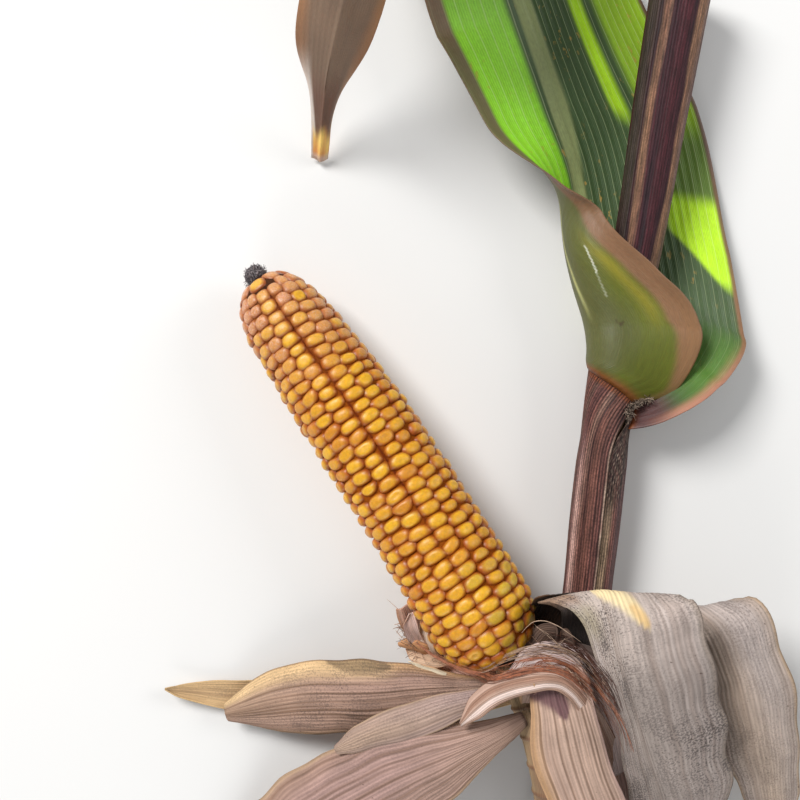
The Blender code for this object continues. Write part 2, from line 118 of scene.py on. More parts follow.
# %% Broad lamps
LAMP_TARGET = (33, 0, 30)
LAMPS = {  # place, size and power
    "key_lamp": ((-900, 900, 1300), 700, 34),
    "side_lamp": ((1400, 500, 900), 800, 9),
    "low_lamp": ((-300, -1500, 700), 800, 8),
}


def make_lamp(name, place, size, power):
    """A square lamp that faces the middle of the cutting."""
    data = bpy.data.lights.new(name, "AREA")
    data.size = size * MM
    data.energy = power
    lamp = bpy.data.objects.new(name, data)
    lamp.location = in_frame(place)
    from_target = in_frame(place) - in_frame(LAMP_TARGET)
    lamp.rotation_mode = "QUATERNION"
    lamp.rotation_quaternion = Vector(from_target).to_track_quat("Z", "Y")
    bpy.context.scene.collection.objects.link(lamp)


for lamp_name, (lamp_place, lamp_size, lamp_power) in LAMPS.items():
    make_lamp(lamp_name, lamp_place, lamp_size, lamp_power)
print("lamps:", list(LAMPS))

# %% [markdown]
# ## Smooth lines and eased values
# A plant part follows a line, and its width or radius changes along it. Both come from a few
# measured places, joined by cubic curves. A line may swing a little past its points. A width
# may not, so its slope at each place is the harmonic mean of the slopes beside it.

# %% Curves through measured places
LINE_STEPS = 400


def unit(vectors):
    """Each vector divided by its own length."""
    vectors = np.asarray(vectors, float)
    return vectors / np.linalg.norm(vectors, axis=-1, keepdims=True)


def full_turn(count):
    """So many angles, evenly round a circle."""
    return np.linspace(0, 2 * math.pi, count, endpoint=False)


def curve_values(at, knots, values, slopes):
    """Between two knots, with t from 0 to 1: the rise times t squared times (3 - 2t), plus the
    first slope times t (1-t) squared, less the last slope times t squared (1-t)."""
    at = np.clip(at, knots[0], knots[-1])
    index = np.clip(np.searchsorted(knots, at, side="right") - 1, 0, len(knots) - 2)
    span = knots[index + 1] - knots[index]
    t = (at - knots[index]) / span
    if values.ndim > 1:
        t, span = t[..., None], span[..., None]
    rise = values[index + 1] - values[index]
    leave = slopes[index] * span * t * (1 - t) ** 2
    arrive = slopes[index + 1] * span * t * t * (1 - t)
    return values[index] + rise * t * t * (3 - 2 * t) + leave - arrive


def eased_values(at, table):
    """Smooth curves through a table's columns, which never pass their highs and lows."""
    table = np.asarray(table, float)
    knots, values = table[:, 0], table[:, 1:]
    steps = np.diff(values, axis=0) / np.diff(knots)[:, None]
    before, after = steps[:-1], steps[1:]
    same = before * after > 0
    total = np.where(same, before + after, 1)
    inner = np.where(same, 2 * before * after / total, 0)
    slopes = np.concatenate([steps[:1], inner, steps[-1:]])
    found = curve_values(np.asarray(at, float), knots, values, slopes)
    return list(np.moveaxis(found, -1, 0))


print("a width halfway from 10 to 20:", eased_values(0.5, [(0, 10), (1, 20)])[0])


# %% A place at any distance along a line
def distances(points):
    """How far along a line each of its points lies: the running sum of the steps."""
    steps = np.linalg.norm(np.diff(points, axis=0), axis=1)
    return np.concatenate([[0], np.cumsum(steps)])


def smooth_line(points):
    """A function that gives the place at any distance along a smooth line, and its length."""
    points = np.asarray(points, float)
    rough = distances(points)
    even = np.linspace(0, rough[-1], LINE_STEPS)
    fine = curve_values(even, rough, points, np.gradient(points, rough, axis=0))
    along = distances(fine)

    def place(at):
        at = np.asarray(at, float)
        return np.stack([np.interp(at, along, fine[:, k]) for k in range(3)], axis=-1)

    return place, along[-1]


def directions(place, at):
    """The unit direction at each distance: from half a millimetre behind to half one ahead."""
    return unit(place(at + 0.5) - place(at - 0.5))


quarter_bend, bend_length = smooth_line([(0, 0, 0), (7, 3, 0), (10, 10, 0)])
print("a quarter bend of 10 mm:", round(bend_length, 1), "mm, its middle:",
      quarter_bend(bend_length / 2).round(1))


# %% Gentle unevenness that is the same on every run
RIPPLE_SIZE = 1.6  # brings most of a ripple between -1 and 1


def ripple(x, y, seed, waves=7):
    """The mean of a few sine waves, each with its own direction, length and start."""
    draw = np.random.default_rng(seed)
    turn, start = draw.uniform(0, 2 * math.pi, (2, waves))
    pace = draw.uniform(0.6, 1.7, waves)
    x, y = np.broadcast_arrays(x, y)
    across = x[..., None] * np.cos(turn) + y[..., None] * np.sin(turn)
    return np.sin(across * pace + start).mean(axis=-1) * math.sqrt(waves) / RIPPLE_SIZE


def fade(value, start, end):
    """0 before start, 1 past end, and a smooth step between them: 3tt - 2ttt."""
    t = np.clip((value - start) / (end - start), 0, 1)
    return t * t * (3 - 2 * t)


print("a ripple at five places:", ripple(np.arange(5.0), 0.0, 1).round(2))
print("a fade from 0 to 4 at them:", fade(np.arange(5.0), 0, 4).round(2))

# %% [markdown]
# ## From arrays to meshes
# Every piece is a closed skin, or many in one mesh. The faces of a grid are worked out as whole
# arrays: each joins a point, its neighbour across, and the same two in the next row. A colour
# for every point goes along as an attribute, and a UV map holds the distances across and along
# the piece, so that veins and fibres can follow its bends.

# %% Colours as the eye names them
def paint(red, green, blue):
    """A screen colour from 0 to 255, as the linear colour that a shader takes."""
    c = np.array([red, green, blue]) / 255
    return np.where(c <= 0.04045, c / 12.92, ((c + 0.055) / 1.055) ** 2.4)


def blend_paint(base, other, weight):
    """Moves a colour towards another by a weight at each point."""
    return base + (other - base) * np.asarray(weight)[..., None]


def layered(base, *layers):
    """Lays pairs of a colour and its weight over a base, one after another."""
    for colour, weight in layers:
        base = blend_paint(base, colour, weight)
    return base


print("a middle grey as a linear colour:", paint(128, 128, 128).round(3))


# %% Grids of faces
def grid_faces(rows, columns, first=0, turned=False):
    """Four-cornered faces over a grid stored row after row. Turned ones face the other way."""
    row, column = np.meshgrid(np.arange(rows - 1), np.arange(columns - 1), indexing="ij")
    corner = first + row * columns + column
    faces = np.stack([corner, corner + 1, corner + columns + 1, corner + columns], axis=-1)
    faces = faces.reshape(-1, 4)
    return faces[:, ::-1] if turned else faces


def ring_faces(rows, sides, first=0):
    """Faces of a tube of rings, where the last point of a ring meets its first."""
    row, side = np.meshgrid(np.arange(rows - 1), np.arange(sides), indexing="ij")
    near, far = first + row * sides, first + (row + 1) * sides
    after = (side + 1) % sides
    return np.stack([near + side, near + after, far + after, far + side], -1).reshape(-1, 4)


def rim_faces(rows, columns):
    """Faces that join an upper grid to a lower one all round their edge."""
    lower = rows * columns
    head = np.arange(columns)
    left = np.arange(rows) * columns
    edges = [
        (head + lower, head),
        (head + (rows - 1) * columns, head + (rows - 1) * columns + lower),
        (left, left + lower),
        (left + columns - 1 + lower, left + columns - 1),
    ]
    strips = [np.stack([a[:-1], a[1:], b[1:], b[:-1]], axis=-1) for a, b in edges]
    return np.concatenate(strips)


print("faces of 3 x 4 points: grid", len(grid_faces(3, 4)), "ring", len(ring_faces(3, 4)),
      "rim", len(rim_faces(3, 4)))


# %% One mesh maker for every piece
def make_piece(name, points, faces, finish, slot, nodes=(), tint=None, uv=None):
    """A named mesh on the body, with its colours per point and its UV map. Three values make
    a colour, and a fourth is a share that the finish reads."""
    points = points.reshape(-1, 3)
    mesh = bpy.data.meshes.new(name)
    mesh.from_pydata(in_frame(points).tolist(), [], [list(map(int, f)) for f in faces])
    mesh.shade_smooth()
    if tint is not None:
        tint = tint.reshape(len(points), -1)
        whole = tint if tint.shape[1] == 4 else np.c_[tint, np.ones(len(points))]
        layer = mesh.attributes.new("tint", "FLOAT_COLOR", "POINT")
        layer.data.foreach_set("color", whole.astype(np.float32).ravel())
    if uv is not None:
        corner = np.empty(len(mesh.loops), np.int32)
        mesh.loops.foreach_get("vertex_index", corner)
        layer = mesh.uv_layers.new(name="UVMap")
        layer.data.foreach_set("uv", (uv[corner] * MM).astype(np.float32).ravel())
    mesh.materials.append(finish)
    piece = bpy.data.objects.new(name, mesh)
    bpy.context.scene.collection.objects.link(piece)
    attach(piece, "root")
    if nodes:
        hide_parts(*nodes)
    print(f"{name}: {len(points)} points, {len(faces)} faces")


# %% A closed skin round a curved sheet
def grid_normal(grid):
    """The surface's unit normal: the cross product of the grid's two directions."""
    return unit(np.cross(np.gradient(grid, axis=1), np.gradient(grid, axis=0)))


def blade_skin(middle, thickness):
    """Each point moves half the thickness to either side along the normal."""
    rows, columns = middle.shape[:2]
    half = grid_normal(middle) * (np.broadcast_to(thickness, middle.shape[:2])[..., None] / 2)
    points = np.concatenate([(middle + half).reshape(-1, 3), (middle - half).reshape(-1, 3)])
    faces = np.concatenate([
        grid_faces(rows, columns),
        grid_faces(rows, columns, rows * columns, turned=True),
        rim_faces(rows, columns),
    ])
    return points, faces


def both_faces(upper, lower):
    """Values for the two skins of a blade, one after the other, as make_piece wants them."""
    width = upper.shape[-1]
    return np.concatenate([upper.reshape(-1, width), lower.reshape(-1, width)])


flat = np.stack([*np.meshgrid(np.arange(4.0), np.arange(3.0)), np.zeros((3, 4))], axis=-1)
print("faces round a flat sheet of 3 x 4 points:", len(blade_skin(flat, 0.5)[1]))

# %% [markdown]
# ## Finishes from shader nodes
# A finish is a small net of nodes round one Principled shader. Three patterns serve the whole
# plant: noise, mostly stretched along the fibres, ribs or veins side by side, and scattered
# specks. A blade or a stalk reads its own UV map in metres, so a fibre keeps its real width.
# The kernels, the cob, the pith and the silk read the object's own coordinates.

# %% Nodes and their inputs
def feed(finish, socket, value):
    """Joins a socket to another node's output, or sets its plain value."""
    if isinstance(value, bpy.types.NodeSocket):
        finish.node_tree.links.new(value, socket)
    else:
        socket.default_value = value


def add_node(finish, kind, settings=None, **inputs):
    """Adds a shader node, sets it up and feeds its inputs."""
    node = finish.node_tree.nodes.new("ShaderNode" + kind)
    for key, value in (settings or {}).items():
        setattr(node, key, value)
    for key, value in inputs.items():
        feed(finish, node.inputs[key], value)
    return node


def new_finish(name, roughness, **values):
    """A finish with a Principled shader, whose plain values are set on its own sockets."""
    finish = bpy.data.materials.new(name)
    finish.use_nodes = True
    shader = finish.node_tree.nodes["Principled BSDF"]
    shader.inputs["Roughness"].default_value = roughness
    for key, value in values.items():
        shader.inputs[key.replace("_", " ")].default_value = value
    return finish, shader


# %% Patterns and plain sums
def tint_of(finish, output="Color"):
    """The colour that the piece's points carry, or its fourth value, Alpha."""
    return add_node(finish, "Attribute", {"attribute_name": "tint"}).outputs[output]


def stretched(finish, across, along, source="UV"):
    """The surface's millimetres, scaled so that a pattern gets so many turns per millimetre
    across and along the piece."""
    where = add_node(finish, "TexCoord").outputs[source]
    scale = (across / MM, along / MM, across / MM)
    return add_node(finish, "Mapping", Vector=where, Scale=scale).outputs["Vector"]


def noise_of(finish, across, along, detail=3.0, roughness=0.55, source="UV"):
    """Cloudy noise, mostly from 0.3 to 0.7, with so many clouds per millimetre each way."""
    where = stretched(finish, across, along, source)
    return add_node(
        finish, "TexNoise", Vector=where, Scale=1.0, Detail=detail, Roughness=roughness
    ).outputs["Fac"]


def remap(finish, value, low, high, new_low=0.0, new_high=1.0):
    """Stretches the values between low and high over a new range, and clips the rest."""
    numbers = {"From Min": low, "From Max": high, "To Min": new_low, "To Max": new_high}
    return add_node(finish, "MapRange", {"clamp": True}, Value=value, **numbers).outputs["Result"]


def sums(finish, how, one, other=0.0):
    """A plain sum of two values, such as ADD, or of one alone, such as SINE."""
    node = add_node(finish, "Math", {"operation": how})
    for socket, value in zip(node.inputs, (one, other)):
        feed(finish, socket, value)
    return node.outputs[0]


def product(finish, value, *others):
    """All the values multiplied with each other."""
    for other in others:
        value = sums(finish, "MULTIPLY", value, other)
    return value


def turns_across(finish, spacing, cloudy, waver):
    """How far a wave has turned at each place across the piece: once for every spacing in
    millimetres, and pushed to and fro by cloudy noise."""
    where = add_node(finish, "SeparateXYZ", Vector=stretched(finish, 2 * math.pi / spacing, 0))
    return sums(finish, "ADD", where.outputs["X"], product(finish, cloudy, waver))


# %% Colours over colours, and relief
COLOUR_MIX_INPUTS, COLOUR_MIX_OUTPUT = (0, 6, 7), 2  # weight and two colours among the sockets


def shaded(finish, colour, shade):
    """A colour times a brightness."""
    scale = {"operation": "SCALE"}
    return add_node(finish, "VectorMath", scale, Vector=colour, Scale=shade).outputs[0]


def mixed(finish, weight, one, other):
    """One colour over another by a weight. A plain colour takes a fourth value of 1."""
    node = add_node(finish, "Mix", {"data_type": "RGBA"})
    one, other = (c if isinstance(c, bpy.types.NodeSocket) else (*c, 1) for c in (one, other))
    for socket, value in zip(COLOUR_MIX_INPUTS, (weight, one, other)):
        feed(finish, node.inputs[socket], value)
    return node.outputs[COLOUR_MIX_OUTPUT]


def relief(finish, shader, height, distance, strength=1.0):
    """Lets a pattern stand out of the surface by so many millimetres."""
    bump = add_node(finish, "Bump", Height=height, Distance=distance * MM, Strength=strength)
    feed(finish, shader.inputs["Normal"], bump.outputs["Normal"])


# %% [markdown]
# ## The ear's place and rows
# An ear is a tapering cob with paired rows of kernels. Its surface is a radius carried along a
# slightly bowed axis. A kernel could be an instance, but the export drops instances, so one
# small wedge is copied by array sums to every place in the rows and joined to one mesh.

# %% The ear's surface
EAR_BUTT = np.array([42, -102, 34.0])
EAR_TIP = np.array([-58, 49, 16.2])
EAR_BOW = 2.2
EAR_RADII = [
    (0, 10.2), (0.012, 14.2), (0.035, 17.8), (0.065, 20.6), (0.12, 22.6), (0.2, 22.5),
    (0.3, 22), (0.45, 21.9), (0.57, 21.6), (0.7, 20.7), (0.78, 19.7), (0.86, 18.6),
    (0.93, 16.4), (0.965, 13.4), (0.985, 10.2), (1, 6.4),
]
EAR_ROWS, KERNELS_IN_A_ROW = 16, 34
ROW_STAGGER, EAR_TURN = 0.22, math.radians(-6.5)
EAR_LENGTH = float(np.linalg.norm(EAR_TIP - EAR_BUTT))
EAR_AXIS = unit(EAR_TIP - EAR_BUTT)
EAR_SIDE = unit(np.cross(EAR_AXIS, (0, 0, 1)))
EAR_UP = np.cross(EAR_SIDE, EAR_AXIS)
print("ear:", round(EAR_LENGTH, 1), "mm long, axis", EAR_AXIS.round(3))


def ear_middle(share):
    """The butt plus that share of the axis, plus the bow times the sine of half a turn."""
    share = np.asarray(share, float)[..., None]
    bow = EAR_BOW * np.sin(math.pi * share)
    return EAR_BUTT + share * EAR_LENGTH * EAR_AXIS + bow * EAR_SIDE


def ear_outward(angle):
    """The direction that faces away from the axis at an angle: cosine up, sine sideways."""
    angle = np.asarray(angle, float)[..., None]
    return np.cos(angle) * EAR_UP + np.sin(angle) * EAR_SIDE


def ear_radius(share):
    """The eased radius at a share of the ear's length."""
    (radius,) = eased_values(share, EAR_RADII)
    return radius


# %% One kernel: rings of a rounded rectangle, from its root in the cob to its crown
KERNEL_SIDES = 16
KERNEL_PROFILE = np.array([  # share of the width, share of the height, squareness
    (0.92, 0.0, 4.0), (1.04, 0.46, 3.8), (1.05, 0.62, 3.2), (0.975, 0.755, 2.7),
    (0.83, 0.865, 2.35), (0.62, 0.942, 2.1), (0.34, 0.986, 2.0),
])


def kernel_rings():
    """Each ring is a superellipse: the cosine and the sine, each to the power 2 / squareness
    with its sign kept, times the ring's share of the width."""
    turn = (np.arange(KERNEL_SIDES) + 0.5) * 2 * math.pi / KERNEL_SIDES
    round_ = np.stack([np.cos(turn), np.sin(turn)], axis=-1)
    power = 2 / KERNEL_PROFILE[:, 2, None, None]
    flat = KERNEL_PROFILE[:, None, :1] * np.sign(round_) * np.abs(round_) ** power
    height = np.broadcast_to(KERNEL_PROFILE[:, None, 1:2], (*flat.shape[:2], 1))
    rings = np.concatenate([flat, height], axis=-1).reshape(-1, 3)
    return np.concatenate([rings, [(0, 0, 1.0)]])


KERNEL = kernel_rings()
print("points of one kernel:", len(KERNEL))

# %% Where every kernel sits
PAIR_GROOVE = 0.55  # how far the two upper rows stand back from the dark groove between them
ROW_WAVER, KERNEL_WANDER = 0.018, 0.16
KERNEL_DEPTH, LEAST_DEPTH, FULL_RADIUS = 6.6, 3.2, 22.6
WIDEST, LONGEST = 4.7, 3.3  # half sizes that no kernel passes
SMALL_SHARE = 0.07  # of the kernels stay small


def kernel_depth(radius):
    """A full kernel's depth, less in proportion where the ear is thinner, down to a limit."""
    return np.maximum(KERNEL_DEPTH * radius / FULL_RADIUS, LEAST_DEPTH)


def kernel_places(draw):
    """Place, size and directions of each kernel, from its row and its number in the row."""
    row, number = np.meshgrid(np.arange(EAR_ROWS), np.arange(KERNELS_IN_A_ROW), indexing="ij")
    station = 2 * number + 1.0
    last = 2 * KERNELS_IN_A_ROW
    ease = np.minimum(1, np.minimum(station, last - station) / 4)
    stagger = np.where((row // 2) % 2 == 1, ROW_STAGGER, -ROW_STAGGER)
    wander = KERNEL_WANDER * ripple(number / 5.0, row * 2.3, 11)
    share = (station + 2 * (stagger + wander) * ease) / last
    keep = (number < KERNELS_IN_A_ROW - 1) | (row % 2 == 0)
    row, share, number = row[keep], share[keep], number[keep]
    count = len(row)
    radius = ear_radius(share)
    slope = (ear_radius(share + 0.004) - ear_radius(share - 0.004)) / (0.008 * EAR_LENGTH)
    angle = 2 * math.pi * row / EAR_ROWS + EAR_TURN + ROW_WAVER * ripple(share * 9, row * 1.7, 5)
    away = np.where(row == 0, -1.0, np.where(row == 1, 1.0, 0.0)) * fade(share, 0.26, 0.34)
    angle = angle + away * PAIR_GROOVE / radius * fade(-share, -0.97, -0.8)
    outward, middle = ear_outward(angle), ear_middle(share)
    around = -np.sin(angle)[:, None] * EAR_UP + np.cos(angle)[:, None] * EAR_SIDE
    normal = unit(outward - slope[:, None] * EAR_AXIS)
    along = unit(EAR_AXIS + slope[:, None] * outward)
    wide = 1.02 * math.pi * radius / EAR_ROWS
    wide = np.where(number >= KERNELS_IN_A_ROW - 1, wide * 1.7, wide)
    long = 0.5 * EAR_LENGTH / KERNELS_IN_A_ROW * np.sqrt(1 + slope**2) * 1.01
    small = draw.uniform(0, 1, count) < SMALL_SHARE
    wide = np.minimum(wide * draw.normal(1, 0.045, count), WIDEST) * np.where(small, 0.86, 1)
    long = np.minimum(long * draw.normal(1.0, 0.055, count), LONGEST) * np.where(small, 0.9, 1)
    proud = draw.normal(0.15, 0.26, count)
    crown = middle + radius[:, None] * outward + proud[:, None] * normal
    return dict(
        crown=crown, around=around, along=along, normal=normal, wide=wide, long=long,
        deep=kernel_depth(radius), share=share, angle=angle, count=count,
    )


# %% Every kernel's points, by one sum over arrays
def kernel_points(p, draw):
    """Crown, less the depth below it, plus the two sides times the kernel's own half sizes.
    Each kernel is a little turned and tilted, and its crown is dented by its own amount."""
    count = p["count"]
    turn = draw.normal(0, 0.1, count)
    lean = draw.normal(0, 0.06, (count, 2))
    tilted = unit(p["normal"] + lean[:, :1] * p["around"] + lean[:, 1:] * p["along"])
    wide_way = unit(np.cos(turn)[:, None] * p["around"] + np.sin(turn)[:, None] * p["along"])
    long_way = np.cross(tilted, wide_way)
    a, b, h = KERNEL.T
    skew = draw.normal(0, 0.11, count)[:, None]
    dent = np.abs(draw.normal(0, 0.055, count))[:, None] * (1 - np.hypot(a, b)) ** 2
    across = (a * (1 + skew * b)) * p["wide"][:, None]
    forth = b * p["long"][:, None]
    up = (h - 1 - dent) * p["deep"][:, None]
    return (
        p["crown"][:, None]
        + across[..., None] * wide_way[:, None]
        + forth[..., None] * long_way[:, None]
        + up[..., None] * tilted[:, None]
    )


# %% Every kernel's colours: amber sides, a golden crown, and its own shade
GOLD, AMBER, ROOT = paint(226, 168, 16), paint(164, 82, 12), paint(92, 26, 8)
ROSY, UNRIPE, DARKER = paint(198, 132, 82), paint(184, 160, 44), paint(204, 132, 16)


def kernel_tints(p, draw):
    """Root, amber and gold by the height in the kernel. The tip is rosier, and a few kernels
    near the butt are still pale green. The fourth value is the share of pale chaff."""
    count = p["count"]
    own = draw.normal(0, 1, count)
    gold = blend_paint(GOLD, DARKER, np.clip(0.35 + 0.35 * own, 0, 1))
    rosy = fade(p["share"], 0.66, 0.97) * np.clip(0.7 + 0.3 * own, 0, 1)
    gold = blend_paint(gold, ROSY, rosy)
    near_butt = fade(-p["share"], -0.3, -0.12) * (np.sin(p["angle"]) > 0.25)
    unripe = near_butt * (draw.uniform(0, 1, count) < 0.4) * 0.6
    gold = blend_paint(gold, UNRIPE, unripe)
    amber = blend_paint(AMBER, ROSY * 0.8, rosy * 0.5) * (1 + 0.06 * own)[:, None]
    height = KERNEL[:, 2]
    crown_share = fade(height, 0.8, 0.95)[None, :, None]
    side_share = fade(height, 0.4, 0.74)[None, :, None]
    colour = ROOT + (amber[:, None] - ROOT) * side_share
    colour = colour + (gold[:, None] - colour) * crown_share
    chaff = np.clip(rosy + 0.08, 0, 1)[:, None, None] * crown_share
    return np.concatenate([colour, np.broadcast_to(chaff, (*colour.shape[:2], 1))], axis=-1)


# %% [markdown]
# ### The kernels' finish
# A ripe kernel is glassy at its sides and floury under its crown. A little subsurface
# scattering lets light into it, and a thin clear coat gives its waxy skin. The colours come
# from the points, so each kernel keeps its own shade in any renderer.

# %% Waxy kernel skin
def make_kernel_finish(name, roughness, shine, coat):
    """The points' colours, clouded by noise, with dark specks, and with pale chaff as strong as
    the tint's fourth value says. The gloss is uneven, and the skin has a little relief."""
    finish, shader = new_finish(
        name, roughness, Specular_IOR_Level=shine, Coat_Weight=coat, Coat_Roughness=0.3,
        Subsurface_Weight=0.18, Subsurface_Scale=0.003, Subsurface_Radius=(1.0, 0.45, 0.12),
    )
    cloudy = noise_of(finish, 0.8, 0.8, 4, source="Object")
    fine = noise_of(finish, 3.5, 3.5, 3, source="Object")
    colour = shaded(finish, tint_of(finish), remap(finish, cloudy, 0.3, 0.75, 0.82, 1.1))
    speck = noise_of(finish, 0.55, 0.55, 5, 0.75, source="Object")
    colour = mixed(finish, remap(finish, speck, 0.715, 0.74), colour, paint(70, 34, 14))
    flakes = noise_of(finish, 2.2, 2.2, 4, 0.7, source="Object")
    chaff = product(finish, remap(finish, flakes, 0.5, 0.6), tint_of(finish, "Alpha"), 0.55)
    colour = mixed(finish, chaff, colour, paint(232, 200, 186))
    feed(finish, shader.inputs["Base Color"], colour)
    gloss = remap(finish, fine, 0.3, 0.7, roughness - 0.08, roughness + 0.1)
    feed(finish, shader.inputs["Roughness"], gloss)
    relief(finish, shader, sums(finish, "ADD", cloudy, fine), 0.10, 0.6)
    return finish


# %% The kernels as one mesh
def make_kernels():
    """Copies of the small wedge: walls between its rings, a fan on the crown, and one face at
    the root, with the numbers of its points moved on for every copy."""
    draw = np.random.default_rng(42)
    places = kernel_places(draw)
    points = kernel_points(places, draw)
    tint = kernel_tints(places, draw)
    count, size = points.shape[:2]
    rings = len(KERNEL_PROFILE)
    walls = ring_faces(rings, KERNEL_SIDES)
    side = np.arange(KERNEL_SIDES) + (rings - 1) * KERNEL_SIDES
    fan = np.stack([side, np.roll(side, -1), np.full(KERNEL_SIDES, size - 1)], axis=-1)
    root = np.arange(KERNEL_SIDES)[::-1]
    start = (np.arange(count) * size)[:, None, None]
    faces = [*(walls + start).reshape(-1, 4), *(fan + start).reshape(-1, 3),
             *(root + start[:, 0])]
    finish = make_kernel_finish("kernel_skin", roughness=0.42, shine=0.5, coat=0.12)
    make_piece("kernels", points, faces, finish, "kernels", ("ear",), tint)


make_kernels()

# %% [markdown]
# ## Tubes along a line
# The cob, the stalk, the shank and every strand of silk are tubes: rings of points round a
# line. A curve with a bevel would make a plain tube, but here the radius may differ at every
# point of a ring, which carves ribs, scars and channels.

# %% Rings round a line, closed at both ends
def ring_frame(along):
    """A direction to the side and one upwards, both square to a line that isn't upright."""
    side = unit(np.cross(along, (0, 0, 1)))
    return side, np.cross(side, along)


def tube_points(place, at, radius, sides):
    """The line's place, plus the radius times cosine upwards and sine sideways."""
    side, up = ring_frame(directions(place, at))
    turn = full_turn(sides)[None, :, None]
    around = np.cos(turn) * up[:, None] + np.sin(turn) * side[:, None]
    radius = np.broadcast_to(radius, (len(at), sides))
    return place(at)[:, None] + radius[..., None] * around


def tube_faces(rows, sides):
    """The wall, and one flat face at each end."""
    first, last = np.arange(sides)[::-1], np.arange(sides) + (rows - 1) * sides
    return [*ring_faces(rows, sides), first, last]


# %% The cob inside the kernels
COB_UNDER, COB_LEAST, COB_SIDES = 3.6, 2.5, 48


def make_cob_finish():
    """Dark and light brown chaff, as flaky noise in colour and in relief."""
    finish, shader = new_finish("chaffy_cob", 0.85)
    flakes = noise_of(finish, 0.9, 0.9, 5, 0.7, source="Object")
    colour = mixed(finish, flakes, paint(52, 20, 10), paint(142, 66, 34))
    feed(finish, shader.inputs["Base Color"], colour)
    relief(finish, shader, flakes, 0.5)
    return finish


def make_cob():
    """The ear's radius less 3.6 mm, but never under 2.5 mm, and a little rough."""
    share = np.concatenate([[0.002], np.linspace(0.01, 0.985, 60), [0.992, 0.997]])
    radius = np.maximum(ear_radius(share) - COB_UNDER, COB_LEAST)
    turn = full_turn(COB_SIDES)
    rough = radius[:, None] + 0.35 * ripple(share[:, None] * 60, turn * 9, 3)
    points = ear_middle(share)[:, None] + rough[..., None] * ear_outward(turn)[None]
    faces = tube_faces(len(share), COB_SIDES)
    make_piece("cob", points, faces, make_cob_finish(), "kernels")


make_cob()

# %% The amber skin that the kernels' glassy sides make together
BED_SHARE = 0.3  # how deep it lies, as a share of a kernel's depth


def make_kernel_bed():
    """The ear's radius less that share, its amber darkened as painted shade between the kernels,
    and a dark line of painted shade over the dark kernel roots where the two upper rows part.
    """
    share = np.linspace(0.012, 0.988, 90)
    turn = full_turn(120)
    radius = ear_radius(share)
    rough = 0.12 * ripple(share[:, None] * 90, turn * 12, 9)
    skin = (radius - BED_SHARE * kernel_depth(radius))[:, None] + rough
    points = ear_middle(share)[:, None] + skin[..., None] * ear_outward(turn)[None]
    rosy = fade(share, 0.66, 0.97)[:, None] + 0 * turn
    # painted shade: the kernels' amber darkened to 0.72 in the gaps between them
    tint = blend_paint(AMBER * 0.72, ROSY * 0.5, 0.4 * rosy)
    line = EAR_TURN + math.pi / EAR_ROWS + ROW_WAVER * ripple(share * 9, 0.8 + 0 * share, 5)
    off = np.abs((turn[None] - line[:, None] + math.pi) % (2 * math.pi) - math.pi) * radius[:, None]
    # painted shade in the deep groove, over the dark of the kernels' roots
    groove = fade(-off, -0.75, -0.3) * fade(share, 0.28, 0.34)[:, None]
    tint = blend_paint(tint, ROOT, 0.9 * groove)
    tint = blend_paint(tint, paint(44, 26, 20), 0.85 * fade(share, 0.925, 0.95)[:, None] + 0 * turn)
    finish = make_kernel_finish("kernel_side_skin", roughness=0.8, shine=0.08, coat=0.0)
    no_chaff = np.zeros((*tint.shape[:2], 1))
    make_piece("kernel_bed", points, tube_faces(len(share), len(turn)), finish, "kernels", (),
               np.concatenate([tint, no_chaff], axis=-1))


make_kernel_bed()

# %% [markdown]
# ## The stalk
# A maize stalk is a solid cane of soft pith in a hard rind. At each node it swells to a ring,
# with a row of small root buds above the scar of a leaf. The internode beside the shank has a
# shallow channel. A lathe could turn a plain cane, but the channel and the buds need a radius
# that changes round the ring, so the radius here is a function of both.

# %% The stalk's line and its plain radius
STALK_LINE = [
    (60, -223, 10.4), (64, -187, 11.2), (72.5, -124, 12.6), (77.4, -79, 13.7),
    (83.7, -21, 14.8), (87.9, 12, 15.5), (91.6, 31, 16.3), (96.9, 60, 17.9),
    (106.6, 123, 21.6), (115.2, 174, 23.6),
]
STALK_RADII = [
    (-223, 10.4), (-187, 10.1), (-124, 9.1), (-79, 8.7), (-50, 9.3), (-28, 9.1), (-14, 8.2),
    (31, 8), (60, 8.1), (174, 8.6),
]
NODE_HEIGHTS = [-181, -127, 27]
NODE_SWELLING, NODE_HALF_LENGTH = 1.2, 5
stalk_place, stalk_length = smooth_line(STALK_LINE)
print("stalk:", round(stalk_length, 1), "mm long")


def stalk_radius(at):
    """The eased taper, plus a bell of 1.2 mm at each node: e to the minus (distance / 5)^2."""
    height = stalk_place(at)[..., 1]
    (radius,) = eased_values(height, STALK_RADII)
    for node in NODE_HEIGHTS:
        bell = np.exp(-(((height - node) / NODE_HALF_LENGTH) ** 2))
        radius = radius + NODE_SWELLING * bell
    return radius


def stalk_distance(height):
    """How far along the stalk its line reaches a height."""
    at = np.linspace(0, stalk_length, LINE_STEPS)
    return float(np.interp(height, stalk_place(at)[:, 1], at))


# %% The stalk's relief: scars, root buds, ribs and the channel
STALK_TURNS = 92
CHANNEL_FROM, CHANNEL_TO, CHANNEL_EASE = -176, -134, 9
CHANNEL_TURN, CHANNEL_HALF_WIDTH, CHANNEL_DEPTH = 0.35, 0.55, 1.1  # turn and width in radians
RIND_RIBS, ROOT_BUDS = 46, 15


